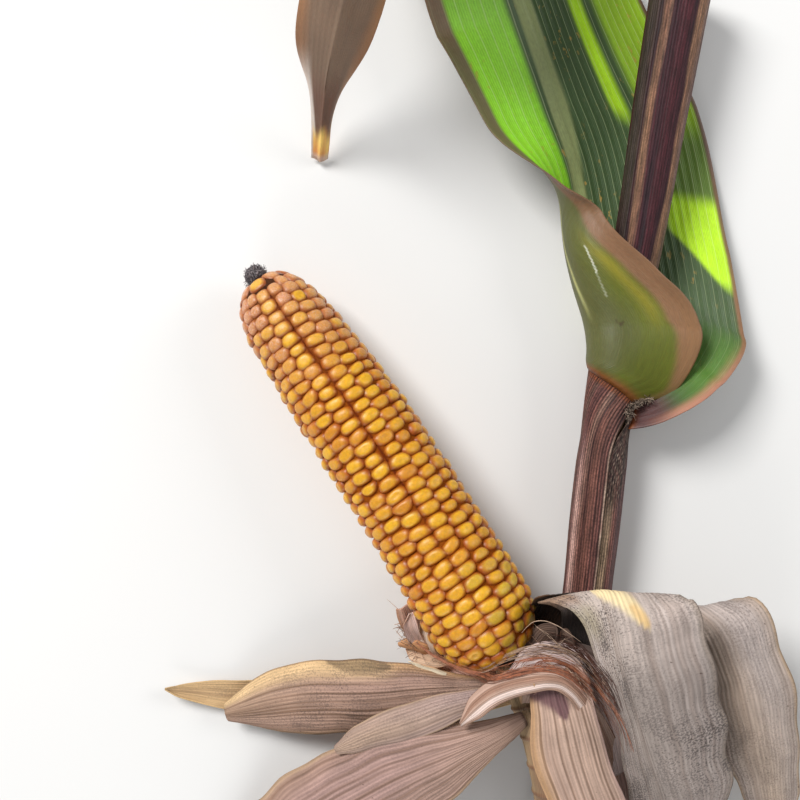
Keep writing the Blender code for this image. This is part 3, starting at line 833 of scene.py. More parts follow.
def stalk_relief(at, turn):
    """Added to the radius: a raised scar at each node, a row of bumps above it, fine ribs,
    and a channel along the inner side of the internode that the shank leaves."""
    height = stalk_place(at)[:, 1][:, None]
    ribs = 0.05 * np.sin(turn * RIND_RIBS + 0.8 * ripple(height / 40, turn * 2, 2))
    added = ribs + 0.08 * ripple(height / 9, turn * 3, 8)
    for node in NODE_HEIGHTS:
        scar = 0.42 * np.exp(-(((height - node + 2.2) / 0.7) ** 2))
        ragged = 1 + 0.5 * ripple(turn * 12, height * 0, node + 200)
        above = height - node - 3.4
        buds = 0.55 * np.exp(-((above / 1.1) ** 2))
        added = added + scar * ragged + buds * np.maximum(np.sin(turn * ROOT_BUDS), 0) ** 2
    inner = np.exp(-(((turn - CHANNEL_TURN) / CHANNEL_HALF_WIDTH) ** 2))
    opens = fade(height, CHANNEL_FROM, CHANNEL_FROM + CHANNEL_EASE - 1)
    closes = fade(-height, -CHANNEL_TO, CHANNEL_EASE - CHANNEL_TO)
    return added - CHANNEL_DEPTH * inner * (opens * closes)


# %% The rind's finish and colours
RIND, RIND_DARK, RIND_PALE = paint(128, 98, 66), paint(84, 52, 42), paint(176, 150, 104)


def make_fibre_finish(name, roughness, rib, streak, contrast, speck_share=0.0, rib_bump=0.12,
                      shine=0.5, reach=50.0, groove=0.11, grain=0.0):
    """A fibrous plant skin: the points' colours, darker and paler streaks along the fibres,
    fine ribs with darker grooves, a fine grain, and dark specks."""
    finish, shader = new_finish(name, roughness, Specular_IOR_Level=shine)
    fibres = noise_of(finish, 1 / streak, 1 / reach, 5, 0.65)
    cloudy = noise_of(finish, 0.10, 0.05, 4, 0.6)
    ribs = sums(finish, "SINE", turns_across(finish, rib, cloudy, 5.0))
    fine = noise_of(finish, 1.9, 1.0, 2, 0.6)
    shade = product(
        finish,
        remap(finish, fibres, 0.34, 0.66, 1 - contrast, 1 + contrast),
        remap(finish, ribs, -1, 1, 1 - groove, 1.08),
        remap(finish, fine, 0.36, 0.64, 1 - grain, 1 + grain),
        remap(finish, cloudy, 0.3, 0.7, 0.88, 1.1),
    )
    colour = shaded(finish, tint_of(finish), shade)
    if speck_share:
        speck = noise_of(finish, 1.1, 0.7, 2, 0.5)
        grouped = noise_of(finish, 0.07, 0.05, 2, 0.5)
        level = remap(finish, grouped, 0.35, 0.7, 0.80 - speck_share * 0.1, 0.72 - speck_share)
        over = sums(finish, "SUBTRACT", speck, level)
        colour = mixed(finish, remap(finish, over, 0, 0.03, 0, 0.8), colour, paint(62, 46, 40))
    feed(finish, shader.inputs["Base Color"], colour)
    relief(finish, shader, sums(finish, "ADD", product(finish, ribs, 0.35), fibres), rib_bump)
    return finish


def tube_uv(at, radius, sides):
    """Millimetres round the tube, from its lowest line, and along it."""
    turn = (np.arange(sides) / sides - 0.5) * 2 * math.pi
    across = np.broadcast_to(turn[None] * np.mean(radius), (len(at), sides))
    along = np.broadcast_to(np.asarray(at)[:, None], across.shape)
    return np.stack([across, along], axis=-1).reshape(-1, 2)


# %% The cane
def make_stalk():
    """The tube with its relief, brown in patches, and paler in a ring at each node."""
    at = np.linspace(0, stalk_length, 360)
    turn = full_turn(STALK_TURNS)
    turned = (turn + math.pi) % (2 * math.pi) - math.pi
    radius = stalk_radius(at)[:, None] + stalk_relief(at, -turned[None])
    points = tube_points(stalk_place, at, radius, STALK_TURNS)
    height = points[..., 1]
    patch = 0.5 + 0.5 * ripple(height / 22, turned[None] * 1.5, 31)
    tint = blend_paint(RIND, RIND_DARK, np.clip(patch, 0, 1) * 0.8)
    for node in NODE_HEIGHTS:
        ring = np.exp(-(((height - node + 1) / 2.4) ** 2))
        tint = blend_paint(tint, RIND_PALE * 0.9, ring * 0.7)
    finish = make_fibre_finish("cane_rind", 0.5, rib=0.9, streak=1.2, contrast=0.22, speck_share=0.03)
    make_piece("cane", points, tube_faces(len(at), STALK_TURNS), finish, "stalk", ("stalk",), tint,
               tube_uv(at, stalk_radius(at), STALK_TURNS))


make_stalk()

# %% [markdown]
# ### The cut ends
# A cut stalk shows a thin dark rind round pale, spongy pith with many darker fibre ends. Each
# end is a shallow disc of rings laid on the flat cut. The fibre ends could be small rods, but
# dots from a Voronoi pattern are enough, as they are only seen from near by.

# %% Pith discs on both cuts
PITH_SIDES, PITH_SHARES = 48, np.array([1.0, 0.97, 0.93, 0.9, 0.7, 0.45, 0.2, 0.02])
PITH_LIFT, PITH_BULGE = 0.12, 0.35


def make_pith_finish():
    """Dots where the distance to the nearest random point is small, over blotched pith."""
    finish, shader = new_finish("spongy_pith", 0.9)
    where = stretched(finish, 0.62, 0.62, "Object")
    dots = add_node(finish, "TexVoronoi", Vector=where, Scale=1.0).outputs["Distance"]
    sponge = noise_of(finish, 1.4, 1.4, 5, 0.7, source="Object")
    colour = mixed(finish, remap(finish, dots, 0.14, 0.2), paint(132, 98, 58), tint_of(finish))
    blotch = remap(finish, sponge, 0.35, 0.7, 0.0, 0.45)
    colour = mixed(finish, blotch, colour, paint(176, 152, 108))
    feed(finish, shader.inputs["Base Color"], colour)
    relief(finish, shader, sponge, 0.5)
    return finish


def make_pith():
    """Each disc: the stalk's end ring times a share that falls almost to nothing, lifted
    0.12 mm off the cut, and 0.35 mm more where the share is small."""
    points, faces, tints = [], [], []
    for end, outwards in ((0.0, -1), (stalk_length, 1)):
        at = np.array([end])
        radius = stalk_radius(at)[:, None] + stalk_relief(at, np.zeros((1, 1)))
        ring = tube_points(stalk_place, at, radius, PITH_SIDES)[0]
        middle = stalk_place(end)
        away = directions(stalk_place, np.array([np.clip(end, 1, stalk_length - 1)]))[0]
        bulge = PITH_LIFT + PITH_BULGE * (1 - PITH_SHARES**4)
        disc = middle + PITH_SHARES[:, None, None] * (ring - middle)[None]
        disc = disc + (outwards * bulge)[:, None, None] * away
        first = sum(len(p) for p in points)
        wall = ring_faces(len(PITH_SHARES), PITH_SIDES, first)
        back = np.arange(PITH_SIDES) + first
        tip = back + (len(PITH_SHARES) - 1) * PITH_SIDES
        faces += [*wall[:, ::outwards], tip[::outwards], back[::-outwards]]
        tint = blend_paint(RIND_DARK, paint(226, 208, 164), fade(-PITH_SHARES, -0.97, -0.9))
        points.append(disc.reshape(-1, 3))
        tints.append(np.repeat(tint, PITH_SIDES, axis=0))
    make_piece("pith", np.concatenate(points), faces, make_pith_finish(), "stalk",
               tint=np.concatenate(tints))


make_pith()

# %% [markdown]
# ## The sheaths
# A leaf starts as a sheath: a tube round the stalk that is open along a seam, where one margin
# lies over the other. It is a sheet carried round the stalk. Its two parameters are the angle
# from one margin to the other and the distance up the stalk.

# %% A sheet round the stalk
def wrap(at, angle, gap):
    """The stalk's line, plus its radius and the gap, in the direction at each angle."""
    along = directions(stalk_place, at)
    side, up = ring_frame(along)
    around = np.cos(angle)[..., None] * up + np.sin(angle)[..., None] * side
    return stalk_place(at) + (stalk_radius(at) + gap)[..., None] * around


COLLAR_HEIGHT, COLLAR_DROP_OVER, COLLAR_DROP_UNDER, COLLAR_POWER = 15, 16, 26, 1.5
COLLAR_SLOPE_LENGTH, SEAM_TURNS_OVER = 90, 32
SEAM_AT_COLLAR, SEAM_BELOW, SEAM_LAP, SEAM_GAP = 60.0, 8.0, 14, 1.5  # in degrees
SHEATH_SWELL, SHEATH_SWELL_LENGTH = 0.9, 40
SHEATH_ROWS, SHEATH_COLUMNS, SHEATH_RIBS = 110, 200, 52
SHEATH_GIRTH, SHEATH_THICKNESS = 2 * math.pi * 9.6, 0.55


def sheath_layout():
    """Distance up the stalk and angle of every point: the seam winds from 60 to 8 degrees,
    and the rows sink towards the seam as the collar does. The top row stands in the collar."""
    top = stalk_distance(COLLAR_HEIGHT) + 1.6
    foot = stalk_distance(NODE_HEIGHTS[1]) + 1.2
    row = np.linspace(foot, top, SHEATH_ROWS)
    below = top - row
    wound = np.clip(below / SEAM_TURNS_OVER, 0, 1)
    seam = SEAM_AT_COLLAR + (SEAM_BELOW - SEAM_AT_COLLAR) * wound * (2 - wound)
    share = np.linspace(0, 1, SHEATH_COLUMNS)[None]
    start, end = seam[:, None] - SEAM_LAP, seam[:, None] + 360 - SEAM_GAP
    angle = start + (end - start) * share
    from_back = np.abs(angle - 180)
    reach = np.where(angle < 180, 180 - start, end - 180)
    steep = (from_back / reach) ** COLLAR_POWER
    ease = np.clip(1 - below / COLLAR_SLOPE_LENGTH, 0, 1)[:, None]
    drop = np.where(angle < 180, COLLAR_DROP_UNDER, COLLAR_DROP_OVER) * steep * ease
    return row[:, None] - drop, np.radians(angle), share, below[:, None]


print("seam: from", SEAM_AT_COLLAR, "degrees at the collar to", SEAM_BELOW, "below")

# %% The lower sheath's colours: purple brown, a pale seam, a dark patch and a beige band
SHEATH_BROWN, SHEATH_PURPLE, SHEATH_HIGHLIGHT_PINK = paint(122, 80, 66), paint(94, 56, 58), paint(216, 176, 164)
SEAM_PALE, SEAM_BAND, FUZZ_DARK = paint(180, 158, 138), paint(160, 134, 108), paint(34, 25, 22)
COLLAR_RUST, SHEATH_DARK, SHEATH_ROSE = paint(128, 66, 26), paint(48, 27, 31), paint(146, 98, 86)
SHEATH_MAUVE = paint(132, 98, 98)


def sheath_tints(share, angle, below):
    """Brown and purple streaks, a painted pink highlight on the left flank, and by the seam a pale
    line, then on its right a dark fuzzy patch above a beige band."""
    over, under = (1 - share) * SHEATH_GIRTH, share * SHEATH_GIRTH
    thread = ripple(share * 255, below / 34, 27) + 0.7 * ripple(share * 105, below / 60, 28)
    # a painted highlight along the left flank
    flank_highlight = np.exp(-(((np.degrees(angle) - 298) / 10) ** 2)) * fade(below, 18, 60)
    line = fade(-over, -1.0, -0.5) * np.clip(0.7 + 0.4 * ripple(below / 3, share * 9, 4), 0, 1)
    band = fade(-under, -6.4, -4.6) * fade(below, 34, 60)
    mauve = fade(under, 6, 9) * fade(-under, -24, -16) * fade(below, 20, 40)
    reach = np.interp(below, [0, 20, 46, 70], [14.0, 15.0, 10.0, 4.0])
    patch = fade(-under / reach, -1.05, -0.8) * fade(-below, -70, -36)
    fuzzy = np.clip(0.72 + 0.6 * ripple(share * 260, below / 0.8, 6), 0, 1)
    hairs = np.clip(ripple(share * 330, below / 0.55, 9), 0, 1)
    near = fade(-over, -6, -0.5) * fade(-below, -20, -8)
    return layered(
        SHEATH_BROWN,
        (SHEATH_PURPLE, np.clip(0.5 + 0.5 * ripple(share * 34, below / 120, 21), 0, 1)),
        (SEAM_PALE, 0.3 * np.clip(ripple(share * 70, below / 60, 23) - 0.35, 0, 1)),
        (SHEATH_DARK, 0.75 * np.clip(thread, 0, 1)),
        (SHEATH_ROSE, 0.45 * np.clip(-thread - 0.1, 0, 1)),
        (SHEATH_HIGHLIGHT_PINK, 0.8 * flank_highlight),
        (SEAM_PALE, line * fade(below, 8, 26) * 0.8),
        (SEAM_BAND, 0.92 * band),
        (SHEATH_MAUVE, 0.5 * mauve),
        (FUZZ_DARK, 0.95 * patch * fuzzy),
        (SEAM_PALE * 1.1, 0.6 * patch * hairs),
        (FUZZ_DARK, 0.75 * near * fuzzy),
        (COLLAR_RUST, 0.7 * fade(-below, -4.2, -2.4)),
    )


# %% The lower sheath
def make_lower_sheath():
    """The gap to the stalk: a swelling under the collar, the lap of one margin over the other,
    ribs, a bead along the margin, and the fuzzy patch's relief."""
    at, angle, share, below = sheath_layout()
    swell = SHEATH_SWELL * np.clip(1 - below / SHEATH_SWELL_LENGTH, 0, 1)
    over = (1 - share) * SHEATH_GIRTH
    lap = 0.75 * fade(-over, -9, -2) - 0.3 * fade(-share, -0.12, -0.03)
    ribs = 0.07 * np.cos(share * SHEATH_RIBS * 2 * math.pi)
    bead = 0.16 * np.exp(-(((over - 0.8) / 0.5) ** 2))
    fuzz = 0.13 * ripple(share * 240, below / 0.9, 8) * fade(-share * SHEATH_GIRTH, -14, -8)
    soft = 0.12 * ripple(share * 22, below / 16, 12)
    gap = 0.9 + swell + lap + ribs + bead + fuzz * fade(-below, -60, -40) + soft
    points, faces = blade_skin(wrap(at, angle, gap), SHEATH_THICKNESS)
    tint = sheath_tints(share, angle, below)
    uv = np.stack(np.broadcast_arrays(share * SHEATH_GIRTH, at), axis=-1)
    finish = make_fibre_finish(
        "sheath_skin", 0.62, rib=1.0, streak=0.85, contrast=0.55, speck_share=0.06, rib_bump=0.26,
        shine=0.28, reach=14.0, groove=0.62, grain=0.34,
    )
    make_piece("lower_sheath", points, faces, finish, "sheath", ("leaf_sheath",),
               both_faces(tint, blend_paint(tint, SEAM_PALE, 0.5 + 0 * share)), both_faces(uv, uv))


make_lower_sheath()

# %% [markdown]
# ### The upper sheath
# Above the leaf the stalk is wrapped in the next leaf's sheath, dark maroon with long tan
# stripes that run together towards its node. The stripes could be painted as an image, but a
# stripe is a band of angles whose edges waver along the stalk. So its colour is a function of
# the same two parameters as the shape, and stays sharp at any size.

# %% Stripes along the upper sheath
MAROON, PLUM, TAN_STRIPE, GREY_STRIPE, DUSTY_STRIPE, KNOT = (
    paint(66, 26, 32), paint(38, 16, 24), paint(150, 112, 84), paint(62, 51, 45),
    paint(124, 98, 86), paint(112, 70, 50),
)
STRIPES = [  # middle and half width in degrees from straight up, colour, strength
    (-66, 20, GREY_STRIPE, 0.95), (-40, 6, PLUM, 0.8), (-27, 8, TAN_STRIPE, 0.6),
    (-10, 8, PLUM, 0.95), (8, 12, MAROON, 0.9), (26, 8, PLUM, 0.8), (43, 12, TAN_STRIPE, 0.8),
    (66, 12, DUSTY_STRIPE, 0.8), (120, 12, TAN_STRIPE, 0.7), (165, 16, PLUM, 0.8),
    (-120, 12, TAN_STRIPE, 0.7), (-160, 10, GREY_STRIPE, 0.6),
]
UPPER_GIRTH, UPPER_THICKNESS, UPPER_RIBS = 62.0, 0.6, 40
UPPER_SEAM, UPPER_LAP = -162, 10  # in degrees
print("stripes:", len(STRIPES))


def upper_sheath_tints(angle, up):
    """Each stripe's weight falls off past its half width. Its middle wavers as it climbs, its
    strength comes and goes, and all fade into one brown at the node."""
    degrees = (np.degrees(angle) + 180) % 360 - 180
    tint = np.broadcast_to(MAROON, (*degrees.shape, 3))
    for number, (middle, half, colour, strength) in enumerate(STRIPES):
        waver = 6 * ripple(up / 30, 0 * up, 60 + number)
        waver = waver + 2.5 * ripple(up / 7, degrees / 20, 80 + number)
        off = np.abs(degrees - middle * (0.84 + 0.16 * fade(up, 0, 60)) - waver)
        wide = half * (0.7 + 0.4 * fade(up, 0, 110) + 0.25 * ripple(up / 16, 0 * up, 100 + number))
        broken = np.clip(0.85 + 0.45 * ripple(up / 18, degrees / 9, 120 + number), 0, 1)
        tint = blend_paint(tint, colour, strength * broken * fade(-off, -wide - 4, -wide + 2))
    return blend_paint(tint, KNOT, 0.7 * fade(-up, -9, -1))


# %% The upper sheath
def make_upper_sheath():
    """The gap to the stalk opens as the sheath climbs, with ribs, soft waves and one fold."""
    node = stalk_distance(NODE_HEIGHTS[2]) + NODE_HALF_LENGTH - 2
    at = np.linspace(node, stalk_length - 0.3, 100)[:, None]
    share = np.linspace(0, 1, 180)[None]
    angle = np.radians(UPPER_SEAM + (360 + UPPER_LAP) * share)
    climb = (at - node) / (stalk_length - node)
    lap = 0.7 * fade(share, 0.9, 0.97)
    ribs = 0.08 * np.cos(share * UPPER_RIBS * 2 * math.pi)
    soft = 0.25 * ripple(share * 9, climb * 5, 41) + 0.1 * ripple(share * 40, climb * 12, 42)
    folded = -0.9 * np.exp(-((np.degrees(angle) + 12) / 7) ** 2) * fade(-climb, -0.7, -0.1)
    gap = 0.9 + 2.6 * climb + 0.35 * lap + ribs + soft * fade(climb, 0.0, 0.1) * 0.8 + 0.5 * folded
    at, angle, gap = np.broadcast_arrays(at, angle, gap)
    points, faces = blade_skin(wrap(at, angle, np.maximum(gap, 0.45)), UPPER_THICKNESS)
    tint = upper_sheath_tints(angle, at - node)
    uv = np.stack(np.broadcast_arrays(share * UPPER_GIRTH, at), axis=-1)
    inner = blend_paint(tint, GREY_STRIPE * 1.4, 0.6 + 0 * share)
    finish = make_fibre_finish(
        "striped_sheath_skin", 0.62, rib=1.0, streak=0.85, contrast=0.5, speck_share=0.04,
        rib_bump=0.2, shine=0.28, reach=9.0, groove=0.3, grain=0.2,
    )
    make_piece("striped_sheath", points, faces, finish, "sheath", ("upper_sheath",),
               both_faces(tint, inner), both_faces(uv, uv))


make_upper_sheath()

# %% [markdown]
# ## The leaf
# The blade leaves the collar, folds round the stalk on its left half, lies flat, arches over
# and hangs down on its dry tip. It is one surface of two parameters: the distance along the
# midrib, and the share of the half width. Each row walks out from the midrib while its
# direction turns evenly from one angle to another, which bends the blade without stretching it.
# A flat blade bent by modifiers could look alike, but it wouldn't keep to the measured places.

# %% The midrib's line and the two halves' sizes
MIDRIB_LINE = [
    (88.3, 15, 5.1), (89.1, 20, 5.0), (88.6, 31, 3.6), (86, 47, 2), (81.4, 72, 1.4),
    (75, 102, 1.6), (66, 127, 3), (53, 164, 6), (37, 203, 16), (22, 219, 42), (9, 209, 75),
    (-2, 186, 96), (-12, 161, 92), (-22, 141, 64), (-30, 121, 30), (-34, 101, 3),
]
LEAF_SHARED = [  # distance, half width, first angle, margin's angle, share that turns, drop
    (280, 34, 20, 30, 1.0, 0), (340, 23, 20, 30, 1.0, 0), (400, 12, 25, 45, 1.0, 0),
    (430, 4.6, 22, 42, 1.0, 0), (470, 3.4, 18, 34, 1.0, 0),
]
LEAF_LEFT = [
    (0, 44.0, 0, 240, 1.0, 16), (4, 65, 0, 205, 0.66, 13), (12, 73, 0, 192, 0.58, 6),
    (38, 63.5, 0, 188, 0.78, 3), (62, 45.5, 2, 176, 1.0, 2), (80, 38.5, 20, 112, 1.0, 4),
    (112, 45, 25, 52, 1.0, 0), (150, 46, 20, 40, 1.0, 0), (205, 44, 18, 30, 1.0, 0),
    *LEAF_SHARED,
]
LEAF_RIGHT = [
    (0, 22.0, 0, 120, 1.0, 26), (12, 40, 4, 50, 1.0, 30), (30, 53, 0, 28, 1.0, 31),
    (60, 54, 0, 14, 1.0, 22), (100, 54, 0, 6, 1.0, 10), (112, 52, 0, 6, 1.0, 5),
    (150, 45, 2, 10, 1.0, 0), (205, 42, 12, 26, 1.0, 0), *LEAF_SHARED,
]
BASE_ROWS, BASE_LENGTH, BLADE_ROWS = 170, 120, 150
LEAF_LEFT_STEPS, LEAF_RIGHT_STEPS = 92, 50
TIP_FROM = 322  # how far along the midrib the dry tip starts
midrib_place, midrib_length = smooth_line(MIDRIB_LINE)
print("midrib:", round(midrib_length, 1), "mm long")


# %% A blade from its midrib: the rule for leaf and husk alike
def blade_frame(place, at, side_hint):
    """Middle, direction, side and upper normal: the side is the hint less its part along."""
    along = directions(place, at)
    hint = np.asarray(side_hint, float)
    side = unit(hint - (along @ hint)[:, None] * along)
    return place(at), along, side, np.cross(side, along)


def half_blade(frame_, values, sign, steps):
    """Out and up are the running means of the cosine and sine of an angle that goes evenly
    from the first to the last over a share of the width; the margin also slips back."""
    middle, along, side, normal = frame_
    width, start, end, turned_by, drop = (np.asarray(v)[:, None] for v in values)
    share = (np.arange(steps) + 0.5) / steps
    angle = np.radians(start + (end - start) * np.minimum(share / turned_by, 1))
    zero = np.zeros_like(width)
    out = np.concatenate([zero, np.cumsum(np.cos(angle), axis=1) / steps], axis=1) * width
    lift = np.concatenate([zero, np.cumsum(np.sin(angle), axis=1) / steps], axis=1) * width
    back = drop * np.linspace(0, 1, steps + 1) ** COLLAR_POWER
    return (
        middle[:, None] + sign * out[..., None] * side[:, None]
        + lift[..., None] * normal[:, None] - back[..., None] * along[:, None]
    )


def whole_blade(frame_, left, right, left_steps, right_steps):
    """Both halves side by side, with each point's signed share from -1 over 0 to 1."""
    grid_left = half_blade(frame_, left, -1, left_steps)[:, ::-1]
    grid_right = half_blade(frame_, right, 1, right_steps)[:, 1:]
    share = np.concatenate([
        -np.linspace(1, 0, left_steps + 1), np.linspace(0, 1, right_steps + 1)[1:]
    ])
    return np.concatenate([grid_left, grid_right], axis=1), share[None]


# %% The leaf's colours: two faces, dry margins, a pale midrib, painted sunlight and shadow
# SUN_GREEN and the left half's sunlit green are painted sunlight, lit copies of the deep green
DEEP_GREEN, SUN_GREEN = paint(66, 88, 48), paint(200, 252, 24)
OLIVE, MOSS, HIGHLIGHT_OLIVE = paint(86, 88, 46), paint(92, 98, 24), paint(142, 132, 34)
DRY_TAN, DRY_BROWN, MIDRIB_PALE = paint(136, 98, 68), paint(116, 86, 60), paint(150, 158, 104)
DRY_MAUVE, TIP_BROWN, TIP_EDGE = paint(106, 80, 70), paint(100, 66, 50), paint(208, 196, 186)
AURICLE, ROSE_RIM, DRY_TIP, DRY_END = (
    paint(84, 54, 52), paint(190, 132, 108), paint(124, 100, 80), paint(222, 144, 74)
)
END_YELLOW, LEFT_SUNLIT_GREEN = paint(250, 210, 112), paint(158, 234, 46)
SCRATCH, EDGE_HIGHLIGHT, MARK = paint(206, 208, 186), paint(196, 196, 128), paint(70, 62, 32)
VIVID_GREEN = paint(82, 122, 40)
STROKES = [  # start and end as distance and share, half width in mm, strength, colour
    ((50, -0.71), (38, -0.632), 0.3, 0.85, SCRATCH),
    ((38, -0.632), (27, -0.565), 0.28, 0.2975, SCRATCH),
    ((15.2, -0.553), (13.4, -0.533), 0.5, 0.85, MARK),
    ((16.2, -0.522), (13.4, -0.533), 0.35, 0.85, MARK),
]
STROKE_HALF_BLADE = 60  # mm, as wide as the left half is taken where the strokes lie


def near_stroke(s, u, start, end, half_width):
    """How close a point lies to a short straight stroke: 1 on it, 0 past its half width."""
    size = (1, STROKE_HALF_BLADE)
    point = np.stack([s, u], axis=-1) * size
    first, last = np.multiply(start, size), np.multiply(end, size)
    step = last - first
    t = np.clip((point - first) @ step / (step @ step), 0, 1)
    away = np.linalg.norm(point - first - t[..., None] * step, axis=-1)
    return fade(-away / half_width, -1.3, -0.7)


def sunny_share(s, u):
    """The painted sunlight: bright patches, one on the left half, one on the right beyond the
    slanting edge of a painted shadow, and a glimpse of a third between the midrib and the stalk."""
    left = fade(-u, 0.15, 0.24) * fade(s, 66, 80)
    shadow = 1 - 0.86 * fade(s, 72, 78) + 0.4 * fade(s, 90, 100)
    right = fade(s - (62 - (u - 0.58) * 48), -1.5, 1.5) * fade(u, 0.56, 0.64) * shadow
    glimpse = fade(u, 0.37, 0.41) * fade(-u, -0.52, -0.47) * fade(s + 40 * u, 114, 124)
    sunny = np.maximum(np.maximum(left, right * fade(s, 44, 50)), glimpse)
    return sunny * fade(-s, -230, -130)


def lower_green(s, u):
    """The back of the leaf, which shows where the left half folds over: olive and moss, a streak
    of painted highlight, a thin line of painted highlight, a scratch and a small mark."""
    # a streak and a thin line of painted highlight on the folded-over back
    highlight_streak = np.exp(-(((u + 0.75) / 0.05) ** 2)) * fade(s, 8, 26) * fade(-s, -62, -40)
    lit = np.interp(s, [0, 20, 60, 75], [-0.40, -0.38, -0.50, -0.58])
    line = np.exp(-(((u - lit) / 0.014) ** 2)) * fade(s, 14, 34) * fade(-s, -80, -66)
    return layered(
        OLIVE,
        (MOSS, fade(-u, 0.5, 0.7) * fade(-s, -70, -24)),
        (HIGHLIGHT_OLIVE, 0.8 * highlight_streak),
        (DEEP_GREEN, 0.55 * fade(u, 0.0, 0.2)),
        (EDGE_HIGHLIGHT, 0.7 * line),
        *((colour, strength * near_stroke(s, u, start, end, half_width))
          for start, end, half_width, strength, colour in STROKES),
    )


def leaf_across(u):
    """About how many millimetres a share lies from the midrib: 42 to a left half, 50 to a
    right one."""
    return np.where(u < 0, u * 42, u * 50)


# %% The margins, the midrib and the tip, on both faces
def leaf_tints(s, u):
    """Colours of the upper and the lower face, as functions of distance and share. The fourth
    value is how strongly the veins show."""
    uneven = ripple(s / 22, u * 4, 71)
    # painted sunlight: lit greens laid over the deep green where the sun patches lie
    sunlit = blend_paint(SUN_GREEN, LEFT_SUNLIT_GREEN, fade(-u, 0.0, 0.2))
    green = blend_paint(DEEP_GREEN, sunlit, np.clip(sunny_share(s, u) * (0.9 + 0.14 * uneven), 0, 1))
    inner_edge = np.interp(s, [0, 4, 9, 17], [0.14, 0.12, 0.05, 0.0])
    margin = np.where(u < 0, fade(-u - inner_edge, 0.785, 0.85), fade(u, 0.955, 0.985))
    margin = margin * fade(s, -1, 6)
    dry = np.clip(margin * (0.95 + 0.1 * uneven), 0, 1)
    dry_paint = layered(DRY_TAN, (DRY_BROWN, fade(s, 40, 72)),
                        (DRY_MAUVE, fade(s, 74, 90) * fade(-s, -190, -130)))
    half = np.interp(s, [0, 60, 80, 112, 330, 442], [7.5, 4.4, 4.0, 5.0, 3.0, 1.2])
    shift = np.interp(s, [60, 80, 95, 112], [3.2, 2.8, 1.6, 0.3])
    rib = fade(-np.abs(leaf_across(u) + shift), -half, -half + 1.6) * fade(s, 6, 30)
    vivid = fade(u, 0.35, 0.6) * fade(-s, -34, -20) * fade(s, 5, 12)
    dried = fade(s + 26 * np.abs(u) + 9 * uneven, 285, 352)
    dry_skin = blend_paint(DRY_TIP, DRY_TAN * 1.25, fade(np.abs(u), 0.6, 0.95))
    warm = blend_paint(DRY_END, END_YELLOW, np.clip(0.15 + 0.9 * ripple(u * 5, s / 7, 77), 0, 1))
    on_both = (
        (AURICLE, fade(-s + 3 * u, -5.5, -2) * fade(u, 0.35, 0.7)),
        (ROSE_RIM, 0.8 * (fade(u, 0.9, 0.97) * fade(-s, -30, -8) * fade(s, 2.5, 8))),
        (COLLAR_RUST, 0.85 * fade(-s, -2.0, -0.5)),
        (dry_skin, dried),
        (TIP_BROWN, 0.8 * fade(s, 392, 412) * fade(-np.abs(u), -0.75, -0.5)),
        (TIP_EDGE, 0.85 * fade(s, 385, 410) * fade(-u, 0.55, 0.72)),
        (warm, fade(s + 3 * uneven, 423, 431) * fade(u, -0.95, -0.75)),
        (TIP_EDGE, 0.7 * fade(s, 438.5, 440.5)),
    )
    upper = layered(green, (dry_paint, dry), (MIDRIB_PALE, 0.92 * rib),
                    (VIVID_GREEN, 0.8 * vivid * (1 - margin)), *on_both)
    lower = layered(lower_green(s, u), (dry_paint, dry), (MIDRIB_PALE * 1.15, 0.9 * rib), *on_both)
    vein_upper = 0.8 * (1 - 0.85 * dry) * (1 - rib) * (1 - 0.6 * dried) * (
        0.25 * fade(s, 4, 16) + 0.75 * fade(s, 20, 75)
    )
    vein_lower = 0.04 * fade(s, 10, 30) + 0.5 * fade(s, 70, 140) * (1 - dried)
    return [np.concatenate([face, vein[..., None]], axis=-1)
            for face, vein in ((upper, vein_upper), (lower, vein_lower))]


# %% The leaf's finish: parallel veins, fine cells, a few dry flecks
VEIN_SPACING = 3.0


def make_leaf_finish(name):
    """The points' colours, with pale veins as strong as the tint's fourth value says."""
    finish, shader = new_finish(name, 0.5, Specular_IOR_Level=0.4, Subsurface_Weight=0.06,
                                Subsurface_Scale=0.002)
    tint, vein_share = tint_of(finish), tint_of(finish, "Alpha")
    cloudy = noise_of(finish, 0.06, 0.025, 4)
    cells = noise_of(finish, 2.2, 0.5, 3)
    place = turns_across(finish, VEIN_SPACING, cloudy, 1.6)
    veins, fine = sums(finish, "COSINE", place), sums(finish, "COSINE", product(finish, place, 5.0))
    visible = remap(finish, vein_share, 0.0, 0.5, 0.25, 1.0)
    shade = product(
        finish,
        remap(finish, cells, 0.3, 0.7, 0.9, 1.1),
        sums(finish, "ADD", product(finish, fine, 0.07, visible), 1.0),
        remap(finish, cloudy, 0.3, 0.7, 0.84, 1.14),
    )
    over = product(finish, remap(finish, veins, 0.93, 0.995), vein_share)
    pale = mixed(finish, 0.34, tint, paint(220, 232, 176))
    colour = mixed(finish, over, shaded(finish, tint, shade), pale)
    fleck = noise_of(finish, 0.42, 0.2, 3, 0.5)
    grouped = noise_of(finish, 0.03, 0.02, 2, 0.5)
    spot = product(finish, remap(finish, fleck, 0.62, 0.67), remap(finish, grouped, 0.44, 0.58),
                   remap(finish, vein_share, 0.3, 0.5), 0.7)
    colour = mixed(finish, spot, colour, paint(186, 150, 72))
    feed(finish, shader.inputs["Base Color"], colour)
    height = product(finish, sums(finish, "ADD", product(finish, fine, 0.3), veins), visible)
    relief(finish, shader, sums(finish, "ADD", height, cells), 0.10)
    return finish


